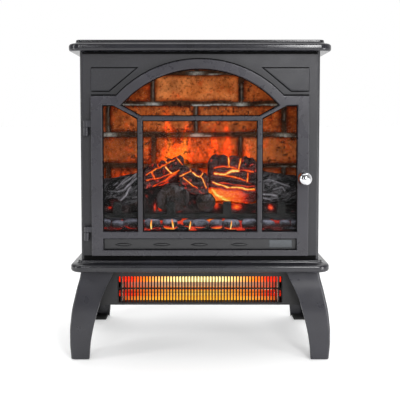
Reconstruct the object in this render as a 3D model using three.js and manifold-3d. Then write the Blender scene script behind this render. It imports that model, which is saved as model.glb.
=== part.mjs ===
// Freestanding electric fireplace stove: a sheet-metal cabinet on four curved legs, with an arched
// glazed door, a lit log bed before a brick-relief flame screen, and a quartz heater slung under the base.
// Millimetres, +Z up, the front faces -Y. The origin is under the middle of the whole stove, on the floor.
import * as THREE from 'three';
import { mergeVertices } from 'three/addons/utils/BufferGeometryUtils.js';
import Module from 'manifold-3d';

const wasm = await Module();
wasm.setup();

// ---- Driving dimensions. Y is measured from the middle plane of the two slabs.
const WIDTH = 518; // across the two slabs
const DEPTH = 285; // front to back across the two slabs
const HEIGHT = 634; // floor to the top of the top slab
const KNOB_REACH = 21; // how far the knob stands in front of the slabs
const GAP = 0.3; // clearance between pieces that touch

const HALF_W = WIDTH / 2;
const HALF_D = DEPTH / 2;
const SLAB_TIER = 15; // height of a slab's wide lower tier
const TOP_SLAB_Z = 611;
const BASE_Z = 175;
const BASE_TOP_Z = 197;
const BODY_INSET = 21; // cabinet walls, in from the slabs' edges
const BODY_X = HALF_W - BODY_INSET;
const BODY_Y = HALF_D - BODY_INSET;
const BODY_CORNER = 6;
const SHEET = 1.5;
const BODY_LOW = BASE_TOP_Z + GAP;
const BODY_HIGH = TOP_SLAB_Z - GAP;
const SEAM_Y = -105; // where the front panel's returns meet the side panels

const DOOR_X = 214.6; // half width over the stiles
const DOOR_LOW = 207;
const ARCH_Z = 370.5; // centre height of the door's arch
const ARCH_OUT = 225.5;
const ARCH_IN = 206;
const STILE_X = 192; // inner edge of the stiles
const DOOR_FRONT = -134.5;
const DOOR_BACK = -123;
const BAR_BACK = -128; // back of the glazing bars, where the glass pocket starts
const RAIL_Z = 255.5; // bottom of the glazing
const LIGHT_TOP = 505.5; // top of the two side lights
const BAR_X = 118; // centre of an upright glazing bar
const BAR_HALF = 6.5;
const CROSS_Z = 480; // centre of the level glazing bar
const CROSS_HALF = 6.2;
const SLOT_X = 191.5;
const SLOT_LOW = 219;
const SLOT_HIGH = 241.6;

const PIN_X = -225.5; // hinge axis
const PIN_Y = -127.5;
const KNUCKLE_R = 5;
const PIN_R = 2;

const LINER_X = 213;
const LINER_LOW = 243;
const LINER_HIGH = 590;
const LINER_BACK = 70;
const SCREEN_Y = -18; // front of the brick screen
const SPINDLE_Y = 30;
const SPINDLE_Z = 285;

const HEATER_X = 210;
const HEATER_FRONT = -102.5;
const HEATER_BACK = 62;
const HEATER_LOW = 99.5;
const HEATER_HIGH = BASE_Z - GAP;
const GRILLE_X = 168;
const GRILLE_LOW = 104;
const GRILLE_HIGH = 158;
const WIRE_PITCH = 6.2;
const TUBE_Y = -76;
const TUBE_HIGH_Z = 146;
const TUBE_LOW_Z = 116;
const TUBE_R = 6;
const BLOWER_Y = 10;
const BLOWER_Z = 137;

// ---- Finishes: colour, roughness, metalness.
const FINISHES = {
  charcoal_paint: [0x3d3c40, 0.5, 0.3],
  chrome: [0xd8d8da, 0.12, 1],
  glass: [0xc8d2d2, 0.08, 0],
  brick: [0x9a5a35, 0.8, 0],
  charcoal: [0x2a2726, 0.85, 0],
  ember: [0xc8501a, 0.7, 0],
  cast_black: [0x1d1d1e, 0.7, 0.4],
  zinc_sheet: [0x9a9da0, 0.4, 0.8],
  polished_sheet: [0xc9c2b4, 0.2, 1],
  quartz: [0xf0a060, 0.15, 0],
  ceramic: [0xd9d4c6, 0.7, 0],
  black_plastic: [0x1b1b1d, 0.5, 0],
  grey_plastic: [0x3b3b3d, 0.55, 0],
  display: [0x8f9ca0, 0.2, 0],
  circuit_board: [0x1f5a38, 0.5, 0],
  rubber: [0x161616, 0.9, 0],
};

const stove = new THREE.Group();
stove.position.y = KNOB_REACH / 2;

function add(name, geometry, finish) {
  const [color, roughness, metalness] = FINISHES[finish];
  const mesh = new THREE.Mesh(geometry, new THREE.MeshStandardMaterial({ color, roughness, metalness }));
  mesh.name = name;
  stove.add(mesh);
}

// ---- Shape helpers.
function shapeOf(points, holes = []) {
  const shape = new THREE.Shape(points.map(([a, b]) => new THREE.Vector2(a, b)));
  shape.holes.push(...holes);
  return shape;
}

function rectangle(a0, a1, b0, b1, holes) {
  return shapeOf([[a0, b0], [a1, b0], [a1, b1], [a0, b1]], holes);
}

function circle(a, b, radius) {
  const shape = new THREE.Shape();
  shape.absarc(a, b, radius, 0, 2 * Math.PI);
  return shape;
}

function extrude(shape, depth, curveSegments = 8) {
  return new THREE.ExtrudeGeometry(shape, { depth, bevelEnabled: false, curveSegments });
}

// A plate whose outline lies in X and Z; front is its face towards -Y.
function plate(shape, front, back, curveSegments) {
  return extrude(shape, back - front, curveSegments).rotateX(Math.PI / 2).translate(0, back, 0);
}

// A prism standing on an outline in X and Y.
function prism(shape, low, high, curveSegments) {
  return extrude(shape, high - low, curveSegments).translate(0, 0, low);
}

const ALONG_X = new THREE.Matrix4().makeBasis(
  new THREE.Vector3(0, 1, 0),
  new THREE.Vector3(0, 0, 1),
  new THREE.Vector3(1, 0, 0),
);

// A bar whose section lies in Y and Z.
function bar(shape, x0, x1, curveSegments) {
  return extrude(shape, x1 - x0, curveSegments).applyMatrix4(ALONG_X).translate(x0, 0, 0);
}

function box(x0, x1, y0, y1, z0, z1) {
  const geometry = new THREE.BoxGeometry(x1 - x0, y1 - y0, z1 - z0);
  return geometry.translate((x0 + x1) / 2, (y0 + y1) / 2, (z0 + z1) / 2);
}

// A turned piece: the profile is [radius, height], and its axis is turned to point along -Y.
function turned(profile, segments, x, y, z) {
  const points = profile.map(([radius, height]) => new THREE.Vector2(radius, height));
  return new THREE.LatheGeometry(points, segments).rotateX(Math.PI).translate(x, y, z);
}

function rod(radius, x0, x1, y, z, sides = 16) {
  const geometry = new THREE.CylinderGeometry(radius, radius, x1 - x0, sides);
  return geometry.rotateZ(Math.PI / 2).translate((x0 + x1) / 2, y, z);
}

function post(radius, x, y, low, high, sides = 16) {
  const geometry = new THREE.CylinderGeometry(radius, radius, high - low, sides);
  return geometry.rotateX(Math.PI / 2).translate(x, y, (low + high) / 2);
}

function fanCap(ring) {
  return ring.slice(2).map((_, j) => [0, j + 1, j + 2]);
}

function levelCap(ring) {
  const flat = ring.map((p) => new THREE.Vector2(p.x, p.y));
  return THREE.ShapeUtils.triangulateShape(flat, []);
}

// A closed skin over rings of equal length, each counter-clockwise seen from before the first ring.
function skin(rings, cap) {
  const n = rings[0].length;
  const last = (rings.length - 1) * n;
  const index = [];
  for (let i = 0; i < last; i += n) {
    for (let j = 0; j < n; j += 1) {
      const next = (j + 1) % n;
      index.push(i + j, i + n + j, i + n + next, i + j, i + n + next, i + next);
    }
  }
  cap(rings[0]).forEach(([a, b, c]) => index.push(a, b, c));
  cap(rings.at(-1)).forEach(([a, b, c]) => index.push(last + a, last + c, last + b));
  return new THREE.BufferGeometry().setFromPoints(rings.flat()).setIndex(index);
}

// ---- Joining and cutting.
function solid(geometry) {
  const bare = new THREE.BufferGeometry().setAttribute('position', geometry.getAttribute('position'));
  bare.setIndex(geometry.index);
  const merged = mergeVertices(bare);
  const mesh = new wasm.Mesh({
    numProp: 3,
    vertProperties: merged.getAttribute('position').array,
    triVerts: new Uint32Array(merged.index.array),
  });
  return new wasm.Manifold(mesh);
}

function geometryOf(manifold) {
  const mesh = manifold.getMesh();
  const geometry = new THREE.BufferGeometry();
  geometry.setAttribute('position', new THREE.BufferAttribute(mesh.vertProperties, 3));
  geometry.setIndex(new THREE.BufferAttribute(mesh.triVerts, 1));
  return geometry;
}

function join(first, ...rest) {
  return geometryOf(rest.reduce((sum, piece) => sum.add(solid(piece)), solid(first)));
}

function cut(first, ...rest) {
  return geometryOf(rest.reduce((left, piece) => left.subtract(solid(piece)), solid(first)));
}

// A plate with openings right through it.
function perforated(shape, openings, front, back, curveSegments) {
  const cutters = openings.map((opening) => plate(opening, front - 1, back + 1, curveSegments));
  return cut(plate(shape, front, back, curveSegments), ...cutters);
}

// ---- Slabs: a hollow pressed moulding with a wide lower tier, a cove and a narrower upper tier.
const SLAB_CORNER = 25;
const TIER_INSET = 14;
const SLAB_LIP = 38;
const SLAB_WALL = 1.5;

function cornerRing(inset, z) {
  const radius = Math.max(SLAB_CORNER - inset, 3);
  const steps = 4;
  const corners = [[1, 1], [-1, 1], [-1, -1], [1, -1]];
  return corners.flatMap(([sx, sy], quarter) => {
    const x = sx * (HALF_W - inset - radius);
    const y = sy * (HALF_D - inset - radius);
    return Array.from({ length: steps + 1 }, (_, i) => {
      const angle = (quarter + i / steps) * (Math.PI / 2);
      return new THREE.Vector3(x + radius * Math.cos(angle), y + radius * Math.sin(angle), z);
    });
  });
}

function slab(low, high) {
  const step = low + SLAB_TIER;
  const profile = [
    [TIER_INSET + 2.5, high],
    [TIER_INSET + 0.6, high - 0.7],
    [TIER_INSET, high - 2.2],
    [TIER_INSET, step + 1],
    [TIER_INSET - 2, step - 0.1],
    [7, step - 0.4],
    [3.5, step - 1],
    [1, step - 3],
    [0, step - 5.8],
    [0, low + 5.5],
    [1, low + 2.5],
    [3.5, low + 0.5],
    [7, low],
    [SLAB_LIP, low],
    [SLAB_LIP, low + SLAB_WALL],
    [6.5, low + SLAB_WALL],
    [3.8, low + SLAB_WALL + 1],
    [SLAB_WALL + 0.4, low + 6],
    [SLAB_WALL + 0.4, step - 5.8],
    [4.4, step - 2.8],
    [7, step - SLAB_WALL - 0.6],
    [TIER_INSET + 1.8, step - SLAB_WALL - 0.4],
    [TIER_INSET + 1.8, high - SLAB_WALL],
  ];
  return skin(profile.map(([inset, z]) => cornerRing(inset, z)), levelCap);
}

add('top_slab', slab(TOP_SLAB_Z, HEIGHT), 'charcoal_paint');
add('base_plate', slab(BASE_Z, BASE_TOP_Z), 'charcoal_paint');

// ---- Legs: hollow angle-section legs with a cabriole curve on both faces, and a glide in each foot.
const LEG_WALL = 1.8;
const LEG_LIP = 7;
const LEG_CORNER = 6;
const LEG_BOTTOM = 1;
const LEG_TOP = BASE_Z - GAP;
const LEG_PLATE = 2.5;
// Half width over the leg's outer face, half width to its inner edge, height.
const LEG_CURVE = [
  [239.3, 172.2, LEG_TOP],
  [242.2, 179.7, 158],
  [247, 189.2, 139],
  [251, 197, 120],
  [255, 203, 100],
  [257.2, 208, 81],
  [259, 213.2, 58],
  [259, 217.6, 32],
  [257, 220.3, LEG_BOTTOM],
];

function legRing(outer, inner, z, sx, sy) {
  const arm = outer - inner;
  const chamfer = LEG_CORNER * (1 - Math.SQRT1_2);
  const inside = LEG_WALL + (LEG_CORNER - LEG_WALL) * (1 - Math.SQRT1_2);
  const section = [
    [arm, 0],
    [LEG_CORNER, 0],
    [chamfer, chamfer],
    [0, LEG_CORNER],
    [0, arm],
    [LEG_LIP, arm],
    [LEG_LIP, arm - LEG_WALL],
    [LEG_WALL, arm - LEG_WALL],
    [LEG_WALL, LEG_CORNER],
    [inside, inside],
    [LEG_CORNER, LEG_WALL],
    [arm - LEG_WALL, LEG_WALL],
    [arm - LEG_WALL, LEG_LIP],
    [arm, LEG_LIP],
  ];
  const ring = section.map(([u, v]) => {
    return new THREE.Vector3(sx * (outer - u), sy * (outer - HALF_W + HALF_D - v), z);
  });
  return sx * sy > 0 ? ring.reverse() : ring;
}

function leg(sx, sy) {
  const curve = new THREE.CatmullRomCurve3(LEG_CURVE.map((p) => new THREE.Vector3(...p)));
  const rings = curve.getPoints(14).map((p) => legRing(Math.min(p.x, HALF_W), p.y, p.z, sx, sy));
  const outer = LEG_CURVE[0][0] - LEG_WALL / 2;
  const reach = 26;
  const x = sx * (outer - reach / 2);
  const y = sy * (outer - HALF_W + HALF_D - reach / 2);
  const half = reach / 2;
  const top = box(x - half, x + half, y - half, y + half, LEG_TOP - LEG_PLATE, LEG_TOP);
  return join(skin(rings, levelCap), top);
}

const PAD_HEIGHT = 5;

function footPad(sx, sy) {
  const size = 30;
  const corner = 4;
  const x = LEG_CURVE.at(-1)[0] - LEG_WALL - 0.5;
  const y = x - HALF_W + HALF_D;
  const outline = [[0, corner], [corner, 0], [size, 0], [size, size], [0, size]];
  const points = outline.map(([u, v]) => [sx * (x - u), sy * (y - v)]);
  return prism(shapeOf(points), 0, PAD_HEIGHT);
}

for (const [end, sy] of [['front', -1], ['rear', 1]]) {
  for (const [side, sx] of [['left', -1], ['right', 1]]) {
    add(`leg_${end}_${side}`, leg(sx, sy), 'charcoal_paint');
    add(`foot_pad_${end}_${side}`, footPad(sx, sy), 'rubber');
  }
}

// ---- Cabinet shell.
const PANEL_X = BODY_X - BODY_CORNER;
const WINDOW_X = 197; // opening behind the door's glazing
const WINDOW_LOW = 249;
const WINDOW_ARCH = 212;
const WINDOW_SHOULDER_X = 160;
const CONTROL_CUT_X = 184;
const CONTROL_CUT_LOW = 222.5;
const CONTROL_CUT_HIGH = 238.2;
const MAGNET = { x: 204, z: 300, halfX: 5, halfZ: 12 };

// Fills a path with an arch-topped outline: straight sides, level shoulders, then the arch.
function archPath(path, halfX, low, shoulderX, radius) {
  const rise = Math.sqrt(radius * radius - shoulderX * shoulderX);
  const start = Math.atan2(rise, shoulderX);
  path.moveTo(-halfX, low);
  path.lineTo(halfX, low);
  path.lineTo(halfX, ARCH_Z + rise);
  path.lineTo(shoulderX, ARCH_Z + rise);
  path.absarc(0, ARCH_Z, radius, start, Math.PI - start);
  path.lineTo(-halfX, ARCH_Z + rise);
  path.closePath();
  return path;
}

// A raised corner field on the front panel; side is -1 or 1.
function cornerField(side) {
  const foot = [[216, 579], [126, 579], [180, 534], [216, 534]];
  const crest = [[213, 576], [133.6, 576], [181, 537], [213, 537]];
  const raise = 2;
  const y = -BODY_Y;
  const ringAt = (points, depth) => {
    const ring = points.map(([x, z]) => new THREE.Vector3(side * x, depth, z));
    return side > 0 ? ring.reverse() : ring;
  };
  return skin([ringAt(crest, y - raise), ringAt(foot, y), ringAt(foot, y + SHEET / 2)], fanCap);
}

function cornerReturn(side) {
  const centreX = side * PANEL_X;
  const centreY = -BODY_Y + BODY_CORNER;
  const start = -Math.PI / 2;
  const end = side > 0 ? 0 : -Math.PI;
  const path = new THREE.Shape();
  path.moveTo(side * (PANEL_X - 3), -BODY_Y);
  path.lineTo(centreX, -BODY_Y);
  path.absarc(centreX, centreY, BODY_CORNER, start, end, side < 0);
  path.lineTo(side * BODY_X, SEAM_Y);
  path.lineTo(side * (BODY_X - SHEET), SEAM_Y);
  path.absarc(centreX, centreY, BODY_CORNER - SHEET, end, start, side > 0);
  path.lineTo(side * (PANEL_X - 3), -BODY_Y + SHEET);
  return prism(path, BODY_LOW, BODY_HIGH, 3);
}

function frontPanel() {
  const holes = [
    archPath(new THREE.Shape(), WINDOW_X, WINDOW_LOW, WINDOW_SHOULDER_X, WINDOW_ARCH),
    rectangle(-CONTROL_CUT_X, CONTROL_CUT_X, CONTROL_CUT_LOW, CONTROL_CUT_HIGH),
    rectangle(
      MAGNET.x - MAGNET.halfX - GAP,
      MAGNET.x + MAGNET.halfX + GAP,
      MAGNET.z - MAGNET.halfZ - GAP,
      MAGNET.z + MAGNET.halfZ + GAP,
    ),
  ];
  const outline = rectangle(-PANEL_X, PANEL_X, BODY_LOW, BODY_HIGH);
  const sheet = perforated(outline, holes, -BODY_Y, -BODY_Y + SHEET, 12);
  return join(sheet, cornerReturn(-1), cornerReturn(1), cornerField(-1), cornerField(1));
}

const FLANGE_Y = BODY_Y - SHEET; // outer face of the rear flanges, which the back cover lies on
const FLANGE_X = 212;

function sidePanel(side) {
  const centreX = side * PANEL_X;
  const centreY = FLANGE_Y - BODY_CORNER;
  const path = new THREE.Shape();
  path.moveTo(side * BODY_X, SEAM_Y + GAP);
  path.absarc(centreX, centreY, BODY_CORNER, side > 0 ? 0 : Math.PI, Math.PI / 2, side < 0);
  path.lineTo(side * FLANGE_X, FLANGE_Y);
  path.lineTo(side * FLANGE_X, FLANGE_Y - SHEET);
  path.absarc(centreX, centreY, BODY_CORNER - SHEET, Math.PI / 2, side > 0 ? 0 : Math.PI, side > 0);
  path.lineTo(side * (BODY_X - SHEET), SEAM_Y + GAP);
  return prism(path, BODY_LOW, BODY_HIGH, 3);
}

const GLAND = { x: 190, z: 222, bore: 4, neck: 7.5 };

function backCover() {
  const openings = [circle(GLAND.x, GLAND.z, GLAND.neck + GAP)];
  for (let row = 0; row < 10; row += 1) {
    const z = 310 + row * 16;
    for (const x of [-95, 0, 95]) openings.push(rectangle(x - 38, x + 38, z, z + 4));
  }
  const outline = rectangle(-PANEL_X + 0.5, PANEL_X - 0.5, BODY_LOW + 2, BODY_HIGH - 2);
  return perforated(outline, openings, FLANGE_Y + GAP, BODY_Y, 6);
}

add('front_panel', frontPanel(), 'charcoal_paint');
add('side_panel_left', sidePanel(-1), 'charcoal_paint');
add('side_panel_right', sidePanel(1), 'charcoal_paint');
add('back_cover', backCover(), 'charcoal_paint');

const glandProfile = [
  [GLAND.bore, -8],
  [GLAND.neck, -8],
  [GLAND.neck, -1],
  [11, -1],
  [11, 1.5],
  [GLAND.neck, 3],
  [6, 9],
  [GLAND.bore, 9],
  [GLAND.bore, -8],
];
const gland = turned(glandProfile, 16, 0, 0, 0).rotateX(Math.PI);
add('cord_gland', gland.translate(GLAND.x, BODY_Y + 1 + GAP, GLAND.z), 'rubber');

// ---- Firebox: liner, brick-relief flame screen, ember bed, logs and grate.
const LINER_FRONT = -BODY_Y + SHEET + GAP;
const LINER_WALL = 0.8;
const LINER_IN = LINER_X - LINER_WALL;
const FLOOR_Z = LINER_LOW + LINER_WALL;

function fireboxLiner() {
  const tube = rectangle(-LINER_X, LINER_X, LINER_LOW, LINER_HIGH, [
    rectangle(-LINER_IN, LINER_IN, FLOOR_Z, LINER_HIGH - LINER_WALL),
  ]);
  return plate(tube, LINER_FRONT, LINER_BACK);
}

const COURSE = 63; // height of a brick with its joint
const BRICK_LENGTH = 182; // from joint to joint
const JOINT = 9;

function brickScreen() {
  const left = -LINER_IN + GAP;
  const low = FLOOR_Z + GAP;
  const high = LINER_HIGH - LINER_WALL - GAP;
  const sheet = box(left, -left, SCREEN_Y, SCREEN_Y + 4, low, high);
  const joints = [];
  for (let course = 0; course < 5; course += 1) {
    const z = 306 + course * COURSE;
    joints.push(box(left - 1, -left + 1, SCREEN_Y - 1, SCREEN_Y + 2, z, z + JOINT));
    const first = (course % 2 ? -99 : -190) - JOINT / 2;
    for (let x = first; x < LINER_IN; x += BRICK_LENGTH) {
      joints.push(box(x, x + JOINT, SCREEN_Y - 1, SCREEN_Y + 2, z, Math.min(z + COURSE, high + 1)));
    }
  }
  return cut(sheet, ...joints);
}

function flameMask() {
  const tongues = [-150, -90, -30, 30, 90, 150].map((x, i) => {
    const tip = 430 + 45 * Math.sin(2.1 * i + 1);
    const sway = 14 * Math.cos(1.7 * i);
    return shapeOf([[x - 14, 268], [x + 14, 268], [x + 9 + sway, 340], [x + sway / 2, tip], [x - 12, 330]]);
  });
  const half = LINER_IN - GAP;
  return perforated(rectangle(-half, half, FLOOR_Z + GAP, 560), tongues, -4, -3);
}

const BED_TOP = 276.7;

function emberBed() {
  const back = SCREEN_Y - GAP;
  const low = FLOOR_Z + GAP;
  const wall = 4;
  const crest = [[back, 282], [-86, 281], [-93, BED_TOP], [-106, BED_TOP], [-113, 271], [-117.5, 258]];
  const under = [
    [-117.5 + wall, 258],
    [-113 + wall, 271 - wall],
    [-105, BED_TOP - wall],
    [-92, BED_TOP - wall],
    [-86, 281 - wall],
    [back - wall, 282 - wall],
  ];
  const section = [[back, low], ...crest, [-117.5, low], [-117.5 + wall, low], ...under, [back - wall, low]];
  return bar(shapeOf(section.reverse()), -LINER_IN + GAP, LINER_IN - GAP);
}

add('firebox_liner', fireboxLiner(), 'cast_black');
add('brick_screen', brickScreen(), 'brick');
add('flame_mask', flameMask(), 'cast_black');
add('ember_bed', emberBed(), 'ember');

const GRATE_BACK = -95;
const GRATE_POSTS = [-168, -59, 55, 165];

function fireGrate() {
  const barLow = BED_TOP + GAP;
  const barHigh = 287.5;
  const postTop = 311;
  const points = [[-LINER_IN + GAP, barLow], [LINER_IN - GAP, barLow], [LINER_IN - GAP, barHigh]];
  for (const x of GRATE_POSTS.toReversed()) {
    points.push([x + 9, barHigh], [x + 8, postTop], [x - 8, postTop], [x - 9, barHigh]);
  }
  points.push([-LINER_IN + GAP, barHigh]);
  return plate(shapeOf(points), GRATE_BACK - 9, GRATE_BACK);
}

add('fire_grate', fireGrate(), 'cast_black');

// A log: ends, then half depth and half height of its section at the start and at the end.
const LOGS = {
  log_left: { from: [-203, -64, 313], to: [-141, -60, 327], start: [25, 30], end: [26, 36] },
  log_charred_left: { from: [-117, -43, 350], to: [-46, -41, 383], start: [20, 22], end: [19, 22] },
  log_leaning: { from: [-31, -78, 369], to: [5, -74, 342], start: [14, 16], end: [14, 16] },
  log_end_left: { from: [-56, -93, 311], to: [-56, -30, 316], start: [27, 26], end: [27, 27] },
  log_end_right: { from: [11, -93, 304], to: [11, -77, 305], start: [18, 18], end: [17, 17] },
  log_glowing_right: { from: [22, -49, 351], to: [117, -47, 343], start: [25, 45], end: [25, 40] },
  log_right: { from: [129, -63, 335], to: [203, -66, 323], start: [26, 32], end: [25, 27] },
};
const LOG_SIDES = 10;

function log({ from, to, start, end }) {
  const a = new THREE.Vector3(...from);
  const b = new THREE.Vector3(...to);
  const along = b.clone().sub(a).normalize();
  const across = along.clone().cross(new THREE.Vector3(0, 0, 1)).normalize();
  const up = across.clone().cross(along);
  const stations = [[0, 0.88], [0.06, 1], [0.5, 0.97], [0.94, 1], [1, 0.88]];
  const rings = stations.map(([t, fullness]) => {
    const centre = a.clone().lerp(b, t);
    return Array.from({ length: LOG_SIDES }, (_, i) => {
      const angle = (2 * Math.PI * i) / LOG_SIDES;
      const lump = fullness * (0.96 + 0.04 * Math.sin(3 * angle + 5 * t));
      const halfDepth = THREE.MathUtils.lerp(start[0], end[0], t) * lump * Math.cos(angle);
      const halfHeight = THREE.MathUtils.lerp(start[1], end[1], t) * lump * Math.sin(angle);
      return centre.clone().addScaledVector(across, halfDepth).addScaledVector(up, halfHeight);
    });
  });
  return skin(rings, fanCap);
}

for (const [name, spec] of Object.entries(LOGS)) add(name, log(spec), 'charcoal');

// ---- Flame drive: a spindle of bright paddles turned by a small motor above a strip of lamps.
const SPINDLE_R = 3;
const SPINDLE_END = 196;

function flameSpindle() {
  const paddles = Array.from({ length: 12 }, (_, i) => {
    const x = -180 + i * 32;
    const paddle = new THREE.BoxGeometry(22, 1, 50).rotateX((i * Math.PI) / 3.4);
    return paddle.translate(x, SPINDLE_Y, SPINDLE_Z);
  });
  return join(rod(SPINDLE_R, -LINER_IN + 2, SPINDLE_END - GAP, SPINDLE_Y, SPINDLE_Z, 12), ...paddles);
}

const bearingHole = circle(SPINDLE_Y, SPINDLE_Z, SPINDLE_R + 0.4);
const bearingSides = [SPINDLE_Y - 11, SPINDLE_Y + 11, SPINDLE_Z - 11, SPINDLE_Z + 11];
const bearingSection = rectangle(...bearingSides, [bearingHole]);
add('spindle_bearing', bar(bearingSection, -LINER_IN + GAP, -LINER_IN + 4.5), 'black_plastic');
add('flame_spindle', flameSpindle(), 'polished_sheet');
add('spindle_motor', rod(20, SPINDLE_END, LINER_IN - GAP, SPINDLE_Y, SPINDLE_Z, 24), 'zinc_sheet');
add('led_board', box(-190, 190, 18, 44, FLOOR_Z + GAP, FLOOR_Z + GAP + 1.6), 'circuit_board');

// ---- Quartz heater under the base.
function heaterHousing() {
  const inside = [HEATER_X - SHEET, HEATER_FRONT + SHEET, HEATER_BACK - SHEET];
  const shell = box(-HEATER_X, HEATER_X, HEATER_FRONT, HEATER_BACK, HEATER_LOW, HEATER_HIGH);
  const hollow = box(-inside[0], inside[0], inside[1], inside[2], HEATER_LOW + SHEET, HEATER_HIGH - SHEET);
  const mouth = box(-GRILLE_X, GRILLE_X, HEATER_FRONT - 1, HEATER_FRONT + 5, GRILLE_LOW, GRILLE_HIGH);
  const intakes = [-140, -84, -28, 28, 84, 140].flatMap((x) =>
    [118, 130, 142, 154].map((z) => box(x - 22, x + 22, HEATER_BACK - 5, HEATER_BACK + 1, z, z + 5)),
  );
  return cut(shell, hollow, mouth, ...intakes);
}

function heaterGrille() {
  const openings = [];
  const count = Math.floor((2 * GRILLE_X) / WIRE_PITCH);
  for (let i = 0; i < count; i += 1) {
    const x = (i - (count - 1) / 2) * WIRE_PITCH;
    openings.push(rectangle(x - 2.1, x + 2.1, GRILLE_LOW + 0.5, GRILLE_HIGH - 0.5));
  }
  const outline = rectangle(-GRILLE_X - 4, GRILLE_X + 4, GRILLE_LOW - 2.7, GRILLE_HIGH + 3);
  const front = HEATER_FRONT + SHEET + GAP;
  return perforated(outline, openings, front, front + 2);
}

// Two shallow troughs, one behind each tube.
function heaterReflector() {
  const low = 102.5;
  const high = 160;
  const steps = 20;
  const depth = 24;
  const face = Array.from({ length: steps + 1 }, (_, i) => {
    const trough = ((2 * i) / steps) % 1;
    const edge = Math.abs(2 * trough - 1) ** 2;
    return [-54 - depth * edge, low + ((high - low) * i) / steps];
  });
  const back = face.map(([y, z]) => [y + 1.2, z]).reverse();
  return bar(shapeOf([...face, ...back]), -158, 158);
}

function tubeHolder(side) {
  const holes = [TUBE_LOW_Z, TUBE_HIGH_Z].map((z) => circle(TUBE_Y, z, TUBE_R + 0.4));
  const section = rectangle(TUBE_Y - 11, TUBE_Y + 22, 102, 162, holes);
  const x = side * 162;
  return bar(section, x - 2, x + 2);
}

function quartzTube(z) {
  const section = circle(TUBE_Y, z, TUBE_R);
  section.holes.push(circle(TUBE_Y, z, TUBE_R - 1.2));
  return bar(section, -168, 168, 8);
}

add('heater_housing', heaterHousing(), 'charcoal_paint');
add('heater_grille', heaterGrille(), 'cast_black');
add('heater_reflector', heaterReflector(), 'polished_sheet');
add('tube_holder_left', tubeHolder(-1), 'ceramic');
add('tube_holder_right', tubeHolder(1), 'ceramic');
add('quartz_tube_upper', quartzTube(TUBE_HIGH_Z), 'quartz');
add('quartz_tube_lower', quartzTube(TUBE_LOW_Z), 'quartz');

// ---- Cross-flow blower behind the reflector.
const ROTOR_LEFT = -130;
const ROTOR_RIGHT = 108;
const ROTOR_R = 22;
const SHAFT_R = 3;

function blowerRotor() {
  const discs = [ROTOR_LEFT, ROTOR_RIGHT - 2].map((x) => rod(ROTOR_R, x, x + 2, BLOWER_Y, BLOWER_Z, 24));
  const length = ROTOR_RIGHT - ROTOR_LEFT;
  const blades = Array.from({ length: 16 }, (_, i) => {
    const blade = new THREE.BoxGeometry(length, 1, 6).translate(0, 0, ROTOR_R - 3.6);
    return blade.rotateX((i * Math.PI) / 8).translate((ROTOR_LEFT + ROTOR_RIGHT) / 2, BLOWER_Y, BLOWER_Z);
  });
  const shafts = [
    rod(SHAFT_R, ROTOR_LEFT - 5, ROTOR_LEFT + 1, BLOWER_Y, BLOWER_Z, 12),
    rod(SHAFT_R, ROTOR_RIGHT - 1, ROTOR_RIGHT + 5.5, BLOWER_Y, BLOWER_Z, 12),
  ];
  return join(discs[0], ...blades, discs[1], ...shafts);
}

function blowerHousing() {
  const wall = 1.2;
  const arc = (offset) =>
    Array.from({ length: 13 }, (_, i) => {
      const turn = i / 12;
      const angle = THREE.MathUtils.degToRad(-60 + 220 * turn);
      const radius = 26 + 7 * turn + offset;
      return [BLOWER_Y + radius * Math.cos(angle), BLOWER_Z + radius * Math.sin(angle)];
    });
  const scroll = bar(shapeOf([...arc(wall), ...arc(0).reverse()]), ROTOR_LEFT - 4, ROTOR_RIGHT + 4);
  const hole = circle(BLOWER_Y, BLOWER_Z, SHAFT_R + 0.6);
  const cheek = rectangle(BLOWER_Y - 30, BLOWER_Y + 30, BLOWER_Z - 24, BLOWER_Z + 30, [hole]);
  const left = bar(cheek, ROTOR_LEFT - 4, ROTOR_LEFT - 2.8);
  const right = bar(cheek, ROTOR_RIGHT + 2.8, ROTOR_RIGHT + 4);
  return join(scroll, left, right);
}

add('blower_housing', blowerHousing(), 'zinc_sheet');
add('blower_rotor', blowerRotor(), 'black_plastic');
add('blower_motor', rod(18, ROTOR_RIGHT + 6, ROTOR_RIGHT + 42, BLOWER_Y, BLOWER_Z, 20), 'zinc_sheet');

const cutoutProfile = [[0, 0], [8, 0], [8, 5], [12, 5], [12, 6.5], [0, 6.5]];
const cutout = turned(cutoutProfile, 16, 0, 0, 0).rotateX(-Math.PI / 2);
add('thermal_cutout', cutout.translate(188, -50, HEATER_HIGH - SHEET - GAP - 6.5), 'ceramic');

// ---- Controls behind the slot in the door's bottom rail.
const FASCIA_X = SLOT_X - 1;
const FASCIA_FRONT = -128;
const FASCIA_WALL = 2;
const BUTTON_X = [-152.4, -76.4, -1.2, 77.8];
const BUTTON_NAMES = ['power', 'flame', 'heat', 'timer'];
const BUTTON_Z = 228.8;
const DISPLAY = { left: 138, right: 183, low: 222.6, high: 238 };
const BOARD_FRONT = -116.5;

// The outline of a button: two shallow arcs that meet in a point at each end.
function lens(x, z, halfX, halfZ) {
  const steps = 6;
  const upper = Array.from({ length: steps }, (_, i) => {
    const t = 1 - (2 * i) / steps;
    return [x + halfX * t, z + halfZ * (1 - t * t)];
  });
  const lower = upper.map(([a, b]) => [2 * x - a, 2 * z - b]);
  return shapeOf([...upper, ...lower]);
}

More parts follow.
